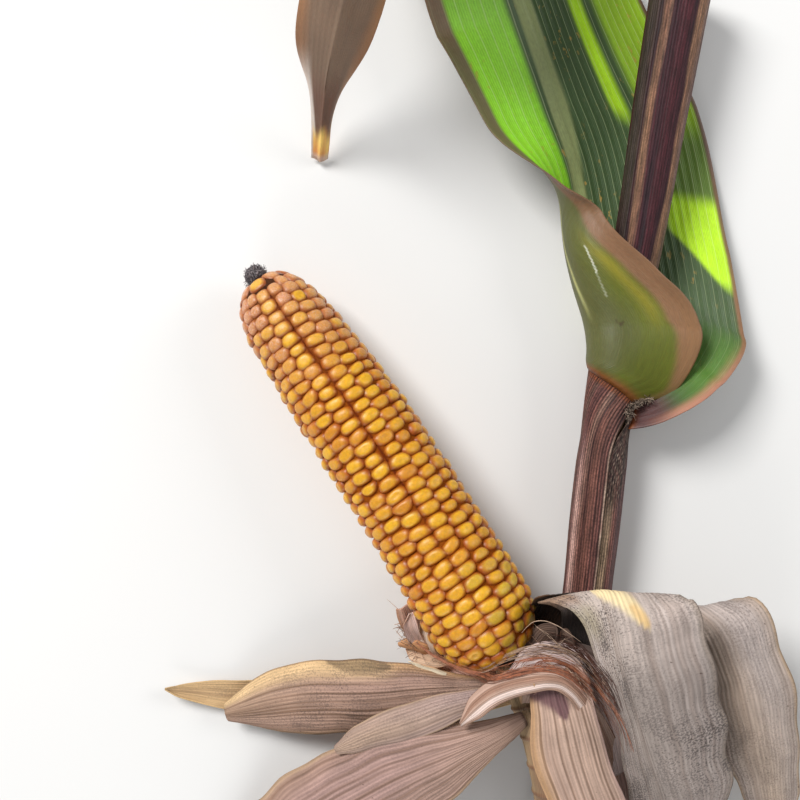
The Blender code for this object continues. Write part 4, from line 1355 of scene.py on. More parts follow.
# %% The leaf's own relief and its mesh
def leaf_relief(s, u):
    """Waves of the margins, which grow with the fourth power of the share past the fold."""
    free = fade(s, 135, 190) * fade(-s, -440, -400)
    left = np.where(u < 0, u**4, 0) * np.sin(2 * math.pi * s / 58 + 0.6)
    right = np.where(u > 0, u**4, 0) * np.sin(2 * math.pi * s / 71 + 2.0)
    shallow = 0.5 * ripple(s / 26, u * 3.2, 75) * fade(s, 110, 150)
    curl = 1.1 * np.where(u < 0, fade(-u, 0.9, 1.0), 0) * fade(-s, -110, -60) * fade(s, 4, 12)
    return 2.6 * free * (left + right) + shallow - curl


def leaf_thickness(s, u):
    """Half a millimetre, and up to 1.5 more at the midrib: e to the minus (mm / 3.4)^2."""
    rib = np.interp(s, [0, 20, 130, 330, 442], [0.4, 1.5, 1.5, 1.0, 0.3])
    return 0.5 + rib * np.exp(-((leaf_across(u) / 3.4) ** 2))


def make_leaf():
    """Closely set rows at the base and wider ones beyond. The finished grid is then cut in two
    where the dry tip starts, and the pieces share the row at the cut."""
    base = np.linspace(0.05, BASE_LENGTH, BASE_ROWS, endpoint=False)
    at = np.concatenate([base, np.linspace(BASE_LENGTH, midrib_length - 0.1, BLADE_ROWS)])
    frame_ = blade_frame(midrib_place, at, (1, 0, 0))
    grid, u = whole_blade(frame_, eased_values(at, LEAF_LEFT), eased_values(at, LEAF_RIGHT),
                          LEAF_LEFT_STEPS, LEAF_RIGHT_STEPS)
    s, u = np.broadcast_arrays(at[:, None], u)
    grid = grid + leaf_relief(s, u)[..., None] * grid_normal(grid)
    thickness = leaf_thickness(s, u)
    left_scale = 44 * (1 - 0.5 * fade(s, 52, 76))  # half as many veins past the fold
    uv = np.stack([np.where(u < 0, u * left_scale, u * 50), s], axis=-1)
    upper, lower = leaf_tints(s, u)
    cut = int(np.searchsorted(at, TIP_FROM))
    for name, rows, slot, nodes in (
        ("leaf", slice(0, cut + 1), "leaf", ("leaf_base", "leaf_blade_rise", "leaf_blade_arch")),
        ("dry_leaf_tip", slice(cut, None), "dry_leaf", ("leaf_blade_tip",)),
    ):
        points, faces = blade_skin(grid[rows], thickness[rows])
        make_piece(name, points, faces, make_leaf_finish(name + "_skin"), slot, nodes,
                   both_faces(upper[rows], lower[rows]), both_faces(uv[rows], uv[rows]))


make_leaf()

# %% [markdown]
# ## The shank and the husks
# The ear stands on a shank: a short stalk of very close nodes, from which the husks grow.
# Husks are papery blades, so they use the leaf's rule with a rounder cross-section. Dry husks
# are ribbed, crumpled and torn. Cloth simulation could crumple them, but it would give a new
# shape on every run, so the relief adds fixed waves and creases along the surface's normal.

# %% The shank
SHANK_LINE = [
    (63.5, -181, 22.4), (61, -167, 28.5), (58, -149, 34), (53.5, -130, 36.2), (48, -114, 35.6),
    (42.8, -103.1, 34.2),
]
SHANK_RADIUS, SHANK_NODES, SHANK_RIBS = 6.4, 7, 34
SHANK_RINGS, SHANK_SIDES = 260, 72


def make_shank():
    """Each node is a raised ring with a small step above it, where a husk was attached."""
    place, length = smooth_line(SHANK_LINE)
    at = np.linspace(2.5, length - 0.1, SHANK_RINGS)
    turn = full_turn(SHANK_SIDES)[None]
    beat = (SHANK_NODES * at / length) % 1
    ring = 0.5 * np.exp(-(((beat - 0.5) / 0.07) ** 2)) - 0.25 * fade(beat, 0.55, 0.6) * (1 - beat)
    ribs = 0.06 * np.sin(turn * SHANK_RIBS) + 0.12 * ripple(at[:, None] / 6, turn * 3, 91)
    radius = SHANK_RADIUS - 0.15 + ring[:, None] + ribs
    points = tube_points(place, at, radius, SHANK_SIDES)
    brown = np.clip(0.5 + 0.5 * ripple(at[:, None] / 12, turn * 2, 92) + ring[:, None], 0, 1)
    tint = blend_paint(paint(176, 150, 112), paint(126, 92, 66), brown)
    finish = make_fibre_finish("shank_rind", 0.6, rib=0.8, streak=1.0, contrast=0.2, speck_share=0.02)
    make_piece("ringed_shank", points, tube_faces(len(at), SHANK_SIDES), finish, "stalk",
               ("shank",), tint, tube_uv(at, SHANK_RADIUS, SHANK_SIDES))


make_shank()

# %% The husks' lines and sizes
HUSKS = {  # line, way to the right margin, share with both half widths, angles at middle and margin
    "husk_left": (
        [(41.1, -111.7, 41.2), (33, -111, 44.5), (16, -114, 38), (-12, -120, 27), (-41, -123, 18),
         (-73, -131, 9)],
        (0, 1, 0),
        [(0, 5, 3), (0.12, 13, 5), (0.4, 17, 14), (0.65, 17, 17), (0.88, 11, 11), (1, 4, 4)],
        (-4, -34),
    ),
    "husk_front": (
        [(48.4, -123, 44), (40, -127, 47.5), (22, -136, 47), (-4, -150, 40), (-34, -172, 27),
         (-60, -196, 14), (-80, -217, 4)],
        (-0.5, 0.85, 0),
        [(0, 3, 3), (0.12, 9, 9), (0.35, 22, 22), (0.6, 24, 24), (0.85, 16, 16), (1, 4, 4)],
        (0, -34),
    ),
    "husk_fold": (
        [(49.4, -117, 43.4), (50.5, -112, 48.4), (53.5, -105.8, 52.6), (56.5, -104.4, 56),
         (60, -114, 57.5), (66, -137, 53), (75, -163, 45), (83, -189, 28), (88, -216, 2.6)],
        (1, 0, 0),
        [(0, 3, 3), (0.06, 6, 8), (0.13, 9, 12), (0.3, 15, 13), (0.6, 13, 14), (0.88, 9, 9),
         (1, 4, 4)],
        (4, 22),
    ),
    "husk_inner": (
        [(47.4, -109.6, 43.5), (54, -106.8, 46.4), (64, -107.5, 46.4), (76, -118.5, 43.8),
         (86, -138, 34), (94, -165, 22), (101, -200, 4)],
        (-0.5, -0.85, 0),
        [(0, 3, 3), (0.05, 5, 3), (0.1, 12, 4), (0.18, 16, 8), (0.4, 16, 13), (0.7, 15, 15),
         (0.9, 9, 9), (1, 3, 3)],
        (0, -20),
    ),
    "husk_right": (
        [(61.1, -124.3, 36), (67.5, -115, 34), (71, -99, 34), (73.5, -83, 42),
         (75, -73, 54), (76.5, -70.5, 64), (78, -78, 69.5), (82, -95, 67), (90, -119, 58),
         (102, -150, 43), (115, -182, 24), (128, -211, 3)],
        (1, 0, 0),
        [(0, 3, 3), (0.08, 7, 7), (0.2, 12, 14), (0.27, 24, 18), (0.3, 18, 25), (0.35, 12, 32),
         (0.5, 9, 33), (0.7, 14, 27), (0.9, 12, 13), (1, 4, 4)],
        (4, 22),
    ),
    "husk_right_back": (
        [(61.2, -135.5, 31.6), (76, -129, 27), (91, -118, 23), (105, -104, 23), (114, -90, 29),
         (118, -80.5, 39), (124.3, -84, 45), (135, -104, 41), (148, -143, 25), (159, -181, 3)],
        (1, 0, 0),
        [(0, 3, 3), (0.12, 7, 7), (0.3, 12, 12), (0.45, 16, 16), (0.7, 18, 16), (0.92, 11, 11),
         (1, 4, 4)],
        (4, 24),
    ),
    "husk_left_back": (
        [(44.3, -118, 30.7), (32, -123, 15), (14, -126, 5), (-25, -126, 2.4), (-64, -124.5, 2.6),
         (-85, -122.6, 3.4), (-99, -121.4, 5)],
        (0, 1, 0),
        [(0, 3, 3), (0.15, 6, 6), (0.4, 9, 7), (0.7, 9, 7), (0.88, 6, 4), (0.96, 3.4, 2), (1, 0.6, 0.6)],
        (0, 12),
    ),
    "husk_shred": (
        [(41.3, -109.3, 28.9), (28, -114, 14), (17, -107, 9), (9, -96, 13), (3, -84, 21)],
        (0.6, 0.8, 0),
        [(0, 2.5, 2.5), (0.3, 6, 7), (0.6, 7, 9), (0.85, 5, 6), (1, 2.5, 2.5)],
        (0, 30),
    ),
}
print("husks of the CAD model:", len(HUSKS))

# %% The thin inner husks that crumple between the ear and the folds, and a sheet of painted shade
INNER_HUSKS = {
    "arched_husk": (
        [(23, -123.5, 50.5), (28.3, -116.5, 53), (35, -110.6, 55.7), (42, -107.2, 58.2),
         (48.5, -105.2, 60.3), (54.5, -104, 61.5), (59.7, -104.8, 61.2), (64, -107.8, 59.8),
         (68, -112.6, 57.2), (72.5, -119.5, 53), (78, -131, 45), (84, -148, 34), (89, -168, 22)],
        (-0.35, -0.94, 0),
        [(0, 1, 1), (0.08, 4.8, 4.4), (0.22, 5.0, 4.2), (0.4, 3.8, 3.0), (0.5, 3.8, 3.2),
         (0.6, 5.2, 4.6), (0.78, 6.5, 6.5), (0.92, 5, 5), (1, 2, 2)],
        (0, -24),
    ),
    "pale_ruffle": (
        [(40, -108.5, 45.5), (47, -102.5, 49), (56, -99, 50), (66, -102.5, 49.5),
         (74, -112, 47), (81, -128, 42), (87, -148, 34)],
        (-0.5, -0.85, 0),
        [(0, 3, 4), (0.1, 6, 6), (0.3, 8, 8), (0.6, 9, 9), (1, 4, 4)],
        (0, -34),
    ),
    "rolled_husk": (
        [(47, -108, 37), (51, -101, 38), (54, -95, 40), (57.5, -90.5, 43), (61, -90, 45),
         (64, -93.5, 46), (66, -98, 45)],
        (0.9, -0.45, 0),
        [(0, 3, 3), (0.3, 5, 5), (0.6, 4.5, 4.5), (0.85, 3.5, 3.5), (1, 1.5, 1.5)],
        (0, -30),
    ),
    # a sheet of painted shade, not a husk: nearly black, it fills the hollow between the ear and the
    # right husk
    "shadow_sheet": (
        [(49, -113, 29), (55, -102, 24), (60, -91, 25), (63, -82, 33), (64.5, -76, 45),
         (66, -72.6, 57)],
        (1, 0, 0),
        [(0, 4, 4), (0.2, 9, 9), (0.5, 13, 12), (0.8, 13, 14), (1, 11, 14)],
        (2, 14),
    ),
    "pink_pleat": (
        [(43, -112.4, 46.2), (33, -113.5, 49), (20, -117, 48.4), (4, -124, 44.5),
         (-12, -131, 39), (-26, -139, 32)],
        (0, 1, 0),
        [(0, 3, 3), (0.15, 5, 4), (0.5, 8, 7), (0.85, 6, 6), (1, 2, 2)],
        (-6, -40),
    ),
    "torn_flap": (
        [(17.8, -105.4, 46), (13.5, -104, 46.4), (8.5, -102.9, 45.2), (3, -101.6, 42)],
        (0, 1, 0),
        [(0, 0.5, 0.5), (0.3, 1.2, 0.9), (0.7, 1.4, 0.9), (1, 0.3, 0.3)],
        (0, -30),
    ),
}
FRILL_WIDTHS = [(0, 1.5, 1.5), (0.3, 3.2, 2.6), (0.7, 3.6, 3.2), (1, 0.8, 0.8)]
FRILLS = {
    "frill_1": ([(13, -104, 13), (8, -99, 16), (4.5, -93, 19), (4, -86.5, 21)], (0.8, 0.5, 0.3),
                FRILL_WIDTHS, (0, 50)),
    "frill_2": ([(15, -105.5, 12), (9, -102.5, 16), (4, -101, 15), (-0.5, -101.5, 11)],
                (0.1, 0.9, 0.4), FRILL_WIDTHS, (0, -50)),
    "frill_3": ([(16, -106, 13), (12, -101, 17), (11, -96, 18), (9, -91, 16)], (0.9, 0.1, 0.5),
                FRILL_WIDTHS, (0, 40)),
    "frill_4": ([(21, -108.5, 12), (14, -107.5, 14), (8, -106, 13), (3, -104.5, 8)],
                (0.1, 0.9, -0.4), FRILL_WIDTHS, (0, 45)),
}
print("crumpled inner husks:", len(INNER_HUSKS), "frills:", len(FRILLS))

# %% How each husk is coloured, crumpled and torn
HUSK_ROWS, HUSK_HALF_STEPS, HUSK_THICKNESS, HUSK_RIB_SPACING = 112, 42, 0.45, 2.2
LONG_HUSK = 60  # mm; a shorter one crumples less
INNER_ROWS, INNER_HALF_STEPS = 80, 26
FRILL_ROWS, FRILL_HALF_STEPS = 44, 16
STRAW, PINK_GREY, ASH, CREAM, EARTH, CAVITY_SHADE = (
    paint(190, 158, 122), paint(176, 142, 132), paint(202, 186, 178), paint(244, 220, 168),
    paint(118, 84, 58), paint(34, 23, 18),
)
HUSK_LOOKS = {  # main colour, margin colour, crumple in mm, mould, seed
    "husk_left": (paint(172, 138, 122), STRAW, 0.7, 0.8, 101),
    "husk_front": (PINK_GREY, STRAW, 0.9, 0.3, 102),
    "husk_fold": (paint(204, 172, 152), PINK_GREY, 1.0, 0.25, 103),
    "husk_inner": (PINK_GREY, paint(206, 180, 166), 0.9, 0.1, 104),
    "husk_right": (ASH, paint(190, 172, 156), 0.5, 1.25, 105),
    "husk_right_back": (ASH * 0.85, STRAW, 0.6, 0.8, 106),
    "husk_left_back": (paint(190, 156, 116), paint(226, 190, 136), 0.9, 0.4, 107),
    "husk_shred": (paint(226, 186, 172), paint(206, 146, 100), 2.2, 0.4, 108),
    "arched_husk": (paint(214, 180, 162), paint(178, 134, 110), 0.8, 0.2, 114),
    # the pale ruffle's pink is lifted further as painted light
    "pale_ruffle": (paint(244, 224, 220), paint(216, 184, 174), 1.1, 0.05, 109),
    "rolled_husk": (paint(122, 98, 84), paint(96, 72, 60), 0.7, 0.1, 110),
    "shadow_sheet": (CAVITY_SHADE, EARTH, 0.7, 0.0, 111),
    "pink_pleat": (paint(172, 146, 138), STRAW, 0.5, 0.5, 112),
    # the torn flap's cream is lifted almost to white as painted sunlight
    "torn_flap": (paint(255, 240, 210), paint(255, 196, 140), 1.0, 0.0, 113),
    "frill_1": (paint(240, 208, 198), paint(226, 176, 144), 1.9, 0.3, 115),
    "frill_2": (paint(236, 178, 128), paint(206, 134, 84), 1.9, 0.3, 116),
    "frill_3": (paint(250, 226, 204), paint(226, 176, 140), 1.9, 0.3, 117),
    "frill_4": (paint(246, 212, 180), paint(206, 148, 108), 1.8, 0.4, 118),
}
STREAKS = {  # strength of the brown streaks where they show more than on the others
    "husk_right": 0.3, "husk_left": 0.75, "husk_fold": 0.7, "arched_husk": 0.75, "husk_front": 0.6,
}
FEW_STREAKS = 0.12
print("husks with many streaks:", len(STREAKS))


# %% A husk's shape
def husk_shape(table, name, rows, half_steps):
    """The blade's grid with its relief: ribs across, crumples along, a rolled margin."""
    line, side, widths, (middle_angle, margin_angle) = table[name]
    _, _, crumple, _, seed = HUSK_LOOKS[name]
    place, length = smooth_line(line)
    share = np.linspace(0, 1, rows)
    frame_ = blade_frame(place, share * length, side)
    even = np.ones(rows)
    bend = [even * middle_angle, even * margin_angle, even, even * 0]
    torn = 1 + 0.07 * ripple(share * length / 5, share * 0, seed) * fade(share, 0.1, 0.3)
    halves = [[half * torn, *bend] for half in eased_values(share, widths)]
    grid, u = whole_blade(frame_, *halves, half_steps, half_steps)
    s, u = np.broadcast_arrays((share * length)[:, None], u)
    width = (halves[0][0] + halves[1][0])[:, None]
    ribs = 0.05 * np.cos(u * width / 2 * 2 * math.pi / HUSK_RIB_SPACING)
    waves = crumple * ripple(u * width / 14, s / 24, seed + 20)
    creases = 0.35 * crumple * np.abs(ripple(u * width / 7, s / 30, seed + 30))
    curl = 1.3 * np.abs(u) ** 5 * np.sin(s / 9 + 2 * np.sign(u))
    settled = fade(s, 4, 22) if length > LONG_HUSK else fade(s, 1, 8) * 0.7
    height = ribs + settled * (waves - creases + crumple * curl)
    return grid + height[..., None] * grid_normal(grid), s, u


# %% A husk's colours
FOLD_HIGHLIGHT = [(69.5, -69.4), (81.5, -73.4), (91, -83)]  # the painted highlight, pale yellow, along the right husk's fold
FOLD_HIGHLIGHT_TIP = [(84, -75), (88, -79), (91, -83)]
# where painted shade darkens the inner husk under the arch
UNDER_THE_ARCH = [(64, -90), (71, -94), (79, -106), (86, -122)]
# where painted shadow, a dark purple, fills the fold's arched opening
ARCH_SHADOW = [(47, -111), (54, -110.5), (59, -113), (62, -119)]
MOULDY_EDGE = [(-30, -107.4), (-18, -107.8), (-4, -107.4)]
WARM_EDGE = paint(196, 152, 104)


def near_curve(grid, curve, half_width):
    """How close a point lies, seen from above, to a curve: 1 on it, 0 past its half width,
    which tapers to both ends."""
    steps = np.linspace(0, 1, 40)
    place, length = smooth_line(np.c_[curve, np.zeros(len(curve))])
    dots = place(steps * length)[:, :2]
    away = np.linalg.norm(grid[..., None, :2] - dots, axis=-1)
    nearest = away.argmin(axis=-1)
    wide = half_width * np.sqrt(np.sin(math.pi * np.clip(steps[nearest], 0.02, 0.98)))
    return fade(-away.min(axis=-1) / wide, -1.1, -0.45)


def placed_colours(name, grid, s, u):
    """The few colours that go with one place on one husk, each with its weight. Some of them are
    painted shade and some painted highlight.
    """
    if name == "husk_right":
        roll = fade(-u, 0.56, 0.68) * fade(s, 50, 56) * fade(-s, -78, -70)
        return [
            # painted highlight along the fold's ridge, and its warmer tip
            (CREAM, 0.9 * near_curve(grid, FOLD_HIGHLIGHT, 3.7)),
            (paint(232, 184, 116), 0.6 * near_curve(grid, FOLD_HIGHLIGHT_TIP, 2.4)),
            # painted shade: the upright part near the root, behind the ear, nearly black
            (CAVITY_SHADE, 0.92 * fade(-s, -58, -44)),
            # painted shade: a third darker from 94 mm along, past the ridge
            (paint(0, 0, 0), 0.34 * fade(s, 94, 122)),
            (paint(150, 112, 80), 0.75 * roll),
            (paint(150, 140, 100), 0.5 * fade(-u, 0.3, 0.7) * fade(s, 74, 80) * fade(-s, -96, -84)),
        ]
    if name == "husk_left":
        return [
            (WARM_EDGE, 0.75 * fade(u, 0.55, 0.95)),
            (paint(232, 196, 146), 0.8 * fade(u, 0.3, 0.8) * fade(s, 40, 62)),
            (paint(84, 66, 42), 0.6 * near_curve(grid, MOULDY_EDGE, 4.2)),
            (paint(92, 58, 40), 0.6 * fade(u, 0.93, 1.0)),
        ]
    if name == "husk_fold":
        # painted shadow in the arch's opening
        arch_shadow = (paint(96, 56, 66), 0.85 * near_curve(grid, ARCH_SHADOW, 5.0))
        return [(WARM_EDGE, 0.75 * fade(-u, 0.55, 0.95)), arch_shadow]
    if name == "husk_inner":
        # painted shade under the arch
        return [(CAVITY_SHADE, 0.75 * near_curve(grid, UNDER_THE_ARCH, 8.0))]
    if name == "arched_husk":
        # painted shade as a brown band and painted highlight as a pale band, along the arch
        return [
            (paint(150, 106, 82), 0.7 * fade(-np.abs(u + 0.25), -0.3, -0.1)),
            (paint(244, 222, 212), 0.7 * fade(-np.abs(u - 0.45), -0.3, -0.1)),
        ]
    return []


def husk_tints(name, grid, s, u):
    """The main colour, its margin, brown shades where it ages, and the mould's share in the
    fourth value."""
    main, edge, _, mould, seed = HUSK_LOOKS[name]
    aged = np.clip(0.5 + 0.6 * ripple(s / 30, u * 3, seed + 40), 0, 1)
    fibre = np.clip(1.7 * ripple(u * 44, s / 45, seed + 70) - 0.1, 0, 1)
    tint = layered(
        main,
        (edge, 0.45 * aged),
        (edge * 0.85, 0.8 * fade(np.abs(u), 0.86, 1.0)),
        (EARTH, 0.25 * np.clip(ripple(u * 26, s / 90, seed + 60), 0, 1)),
        (EARTH * 0.8, STREAKS.get(name, FEW_STREAKS) * fibre),
        *placed_colours(name, grid, s, u),
    )
    cloud = np.clip(0.6 + 0.5 * ripple(s / 16, u * 3, seed + 80), 0, 1)
    if name == "husk_right":
        cloud = cloud * (1 - 0.9 * near_curve(grid, FOLD_HIGHLIGHT, 5.5))
    return np.concatenate([tint, (mould * cloud)[..., None]], axis=-1)


# %% Papery finish: close veins, blotches and grey mould dots
HUSK_VEIN_SPACING, LEAST_VEINED_WIDTH = 0.95, 5


def make_husk_finish():
    """The points' colours, shaded by close veins and long fibres. Dark dots stand thickest
    where the tint's fourth value is high."""
    finish, shader = new_finish("dry_husk", 0.78)
    mould = tint_of(finish, "Alpha")
    cloudy = noise_of(finish, 0.10, 0.05, 4, 0.6)
    fibres = noise_of(finish, 1.9, 0.05, 4, 0.6)
    veins = sums(finish, "SINE", turns_across(finish, HUSK_VEIN_SPACING, cloudy, 4.0))
    shade = product(
        finish,
        remap(finish, fibres, 0.3, 0.7, 0.80, 1.14),
        remap(finish, veins, -1, 1, 0.87, 1.06),
        remap(finish, cloudy, 0.3, 0.7, 0.82, 1.12),
    )
    colour = shaded(finish, tint_of(finish), shade)
    dots = noise_of(finish, 2.3, 1.2, 3, 0.6)
    grouped = noise_of(finish, 0.16, 0.06, 3, 0.6)
    level = remap(finish, grouped, 0.34, 0.62, 0.60, 0.44)
    over = remap(finish, sums(finish, "SUBTRACT", dots, level), 0, 0.07, 0, 0.66)
    colour = mixed(finish, product(finish, over, mould), colour, paint(60, 50, 48))
    spots = remap(finish, noise_of(finish, 0.9, 0.45, 3, 0.6), 0.68, 0.72)
    spots = product(finish, spots, remap(finish, mould, 0.1, 0.2, 0, 0.8))
    colour = mixed(finish, spots, colour, paint(64, 42, 30))
    feed(finish, shader.inputs["Base Color"], colour)
    relief(finish, shader, sums(finish, "ADD", product(finish, veins, 0.4), fibres), 0.16)
    return finish


husk_finish = make_husk_finish()
print("nodes in the husks' finish:", len(husk_finish.node_tree.nodes))


# %% All the husks
def make_husk(table, name, rows, half_steps, nodes):
    """Skins the grid, lays the tint on both faces and measures the fibres in millimetres."""
    grid, s, u = husk_shape(table, name, rows, half_steps)
    points, faces = blade_skin(grid, HUSK_THICKNESS)
    tint = husk_tints(name, grid, s, u)
    half_width = np.mean([row[1:] for row in table[name][2]])
    uv = np.stack([u * max(half_width, LEAST_VEINED_WIDTH), s], axis=-1)
    make_piece("dry_" + name, points, faces, husk_finish, "husk", nodes,
               both_faces(tint, tint), both_faces(uv, uv))
    return grid


husk_grids = [make_husk(HUSKS, name, HUSK_ROWS, HUSK_HALF_STEPS, (name,)) for name in HUSKS]
husk_grids += [
    make_husk(INNER_HUSKS, name, INNER_ROWS, INNER_HALF_STEPS, ()) for name in INNER_HUSKS
]
husk_grids += [make_husk(FRILLS, name, FRILL_ROWS, FRILL_HALF_STEPS, ()) for name in FRILLS]
print("husks:", len(husk_grids))

# %% [markdown]
# ## Silk
# The silk withers to a dark tuft on the tip, and its lower threads stay tangled round the
# butt. A curve with a bevel could make one thread. Hundreds are made at once here: every path
# is a row of one array, and a small ring of points is carried along all of them together.

# %% Thin tubes along many paths at once
THREAD_SIDES = 4


def threads(paths, radius):
    """Round every place of every path: the radius times cosine and sine in the plane square
    to the path."""
    sides = THREAD_SIDES
    along = unit(np.gradient(paths, axis=1))
    side = unit(np.cross(along, (0.31, 0.17, 0.93)))
    up = np.cross(side, along)
    turn = full_turn(sides)[:, None]
    ring = np.cos(turn) * up[:, :, None] + np.sin(turn) * side[:, :, None]
    points = paths[:, :, None] + radius[..., None, None] * ring
    count, steps = paths.shape[:2]
    start = (np.arange(count) * steps * sides)[:, None, None]
    wall = ring_faces(steps, sides) + start
    head = np.arange(sides)[::-1] + start[:, 0]
    tail = np.arange(sides) + (steps - 1) * sides + start[:, 0]
    return points.reshape(-1, 3), [*wall.reshape(-1, 4), *head, *tail]


def make_silk_finish():
    """The points' colours, lighter and darker by cloudy noise."""
    finish, shader = new_finish("dry_silk", 0.6)
    uneven = noise_of(finish, 0.7, 0.7, 3, source="Object")
    colour = shaded(finish, tint_of(finish), remap(finish, uneven, 0.3, 0.7, 0.7, 1.3))
    feed(finish, shader.inputs["Base Color"], colour)
    return finish


silk_finish = make_silk_finish()


def make_threads(name, paths, thick, colours, draw):
    """Thins each strand towards its ends and gives it its own mix of two colours."""
    count, steps = paths.shape[:2]
    taper = 1 - 0.5 * np.abs(np.linspace(-1, 1, steps)) ** 3
    radius = thick * draw.uniform(0.7, 1.2, (count, 1)) * taper
    points, faces = threads(paths, radius)
    own = draw.uniform(0, 1, (count, 1))
    tint = np.repeat(blend_paint(*colours, own).reshape(-1, 3), steps * THREAD_SIDES, axis=0)
    make_piece(name, points, faces, silk_finish, "silk", (), tint)


# %% The tuft on the tip
TUFT_THREADS, TUFT_STEPS, TUFT_RINGS, TUFT_SIDES = 900, 6, 26, 40
TUFT_FROM, TUFT_TO = -1.5, 6.8  # along the ear's axis, from its tip
TUFT_RADIUS = 4.7


def make_tuft():
    """Felted silk: a lumpy core whose radius is that of a ball, and short threads that leave
    its skin at a slant and curl back."""
    draw = np.random.default_rng(5)
    half = (TUFT_TO - TUFT_FROM) / 2
    centre = EAR_TIP + (TUFT_FROM + half) * EAR_AXIS
    place, length = smooth_line([centre - half * EAR_AXIS, centre, centre + half * EAR_AXIS])
    at = np.linspace(0.02, 0.98, TUFT_RINGS) * length
    turn = full_turn(TUFT_SIDES)
    ball = np.sqrt(1 - (2 * at / length - 1) ** 2)[:, None]
    lumps = 1 + 0.16 * ripple(at[:, None] / 1.3, turn[None] * 3, 19)
    core = tube_points(place, at, 0.9 * TUFT_RADIUS * ball * lumps, TUFT_SIDES)
    make_piece("silk_tuft_felt", core, tube_faces(TUFT_RINGS, TUFT_SIDES), silk_finish,
               "silk", ("silk_tuft",), np.full(core.shape, paint(66, 58, 60)))
    out = unit(draw.normal(0, 1, (TUFT_THREADS, 3)))
    size = TUFT_RADIUS + (half - TUFT_RADIUS) * np.abs(out @ EAR_AXIS)
    start = centre + (0.85 * size)[:, None] * out
    lean = unit(0.35 * out + draw.normal(0, 0.55, (TUFT_THREADS, 3)))
    bend = draw.normal(0, 0.5, (TUFT_THREADS, 3)) - 0.5 * out
    far = draw.uniform(0.8, 2.1, TUFT_THREADS)[:, None, None]
    t = np.linspace(0, 1, TUFT_STEPS)[None, :, None]
    paths = start[:, None] + far * (t * lean[:, None] + t * t * bend[:, None])
    colours = (paint(46, 40, 42), paint(164, 152, 152))
    make_threads("silk_tuft_threads", paths, 0.15, colours, draw)


make_tuft()

# %% How high the husks stand at every place
CELL, MAP_LOW, MAP_STEPS = 0.6, (-10.0, -150.0), (220, 170)


def husk_height_map():
    """The highest husk point over each small square, spread to its neighbours."""
    high = np.full(MAP_STEPS, -100.0)
    dots = np.concatenate([grid.reshape(-1, 3) for grid in husk_grids])
    cell = np.floor((dots[:, :2] - MAP_LOW) / CELL).astype(int)
    inside = ((cell >= 0) & (cell < MAP_STEPS)).all(axis=1)
    np.maximum.at(high, tuple(cell[inside].T), dots[inside, 2])
    for axis in (0, 1):
        high = np.maximum(high, np.maximum(np.roll(high, 1, axis), np.roll(high, -1, axis)))
    return high


height_map = husk_height_map()
print("highest husk place on the map:", round(float(height_map.max()), 1), "mm")


def laid_on_husks(paths, lift):
    """Raises each place of each path to just above the husks under it, smoothed along."""
    cell = np.floor((paths[..., :2] - MAP_LOW) / CELL).astype(int)
    cell = np.clip(cell, 0, np.array(MAP_STEPS) - 1)
    under = height_map[cell[..., 0], cell[..., 1]]
    over = np.maximum(paths[..., 2], under + lift)
    for _ in range(3):
        mean = over.copy()
        mean[:, 1:-1] = (over[:, :-2] + over[:, 1:-1] + over[:, 2:]) / 3
        over = np.maximum(mean, under + 0.6 * lift)
    return np.concatenate([paths[..., :2], over[..., None]], axis=-1)


# %% Brown silk tangled round the butt
SILK_BROWN, SILK_RUST, SILK_PALE, SILK_DARK = (
    paint(100, 58, 42), paint(176, 108, 74), paint(206, 176, 150), paint(58, 38, 30),
)
SILK_BANDS = [  # line, strands, spread at its start and end in mm, two colours
    ([(6, -95, 36), (12, -98.6, 41), (19.2, -101.8, 45), (27, -104.4, 46), (32.2, -105.2, 47),
      (38.2, -103.4, 49), (45.5, -100.6, 52), (52.6, -98.8, 55), (58.2, -99, 56),
      (63.9, -101.4, 55), (68.7, -105.4, 53), (73.6, -110, 51), (78.2, -115.8, 49),
      (82.7, -123.8, 45), (86.6, -134.5, 39)], 62, 0.5, 2.6, (SILK_BROWN, SILK_RUST)),
    ([(28, -104, 46), (33, -102.4, 48), (38.1, -99, 49), (44.2, -96.4, 50), (50.3, -95, 50),
      (56.4, -95.4, 50), (62, -97.2, 50), (67.4, -100.6, 50), (72.5, -105.5, 49),
      (77.3, -112.1, 48), (81.5, -120, 46)], 26, 1.4, 3.4, (SILK_BROWN, SILK_PALE)),
    ([(53, -92, 44), (60, -92.6, 46), (67, -95.4, 47), (73, -101.4, 47), (78, -108.7, 46),
      (82, -117, 44)], 48, 2.4, 2.0, (SILK_DARK, SILK_BROWN)),
]
BAND_STEPS = 44
LOOSE_STRANDS, LOOSE_STEPS, CURL_STEPS = 60, 26, 60
PALE_CURL = [(46.6, -89.4, 47), (48.6, -86.2, 50), (50.8, -83.8, 53), (54.6, -83.2, 55),
             (59, -84.7, 56), (64, -88, 56), (68.5, -91.5, 54)]
LOOSE_TOP = 58  # no loose strand stands as high as this


def band_paths(draw, line, count, narrow, wide):
    """Each strand takes a stretch of the band, keeps its own place across it, and swings. It
    ends with the band at the latest, as a tube can't turn where two places are the same."""
    place, length = smooth_line(line)
    start = draw.uniform(0, 0.5, count)
    end = np.minimum(start + draw.uniform(0.3, 0.7, count), 1)
    share = start[:, None] + (end - start)[:, None] * np.linspace(0, 1, BAND_STEPS)
    middle = place(share * length)
    along = unit(np.gradient(middle, axis=1))
    side = unit(np.cross(along, (0, 0, 1)))
    spread = narrow + (wide - narrow) * share
    own = draw.normal(0, 0.6, (count, 1))
    swing = ripple(share * 4.2, np.arange(count)[:, None] * 1.7, 131)
    return middle + ((own + 0.9 * swing) * spread)[..., None] * side


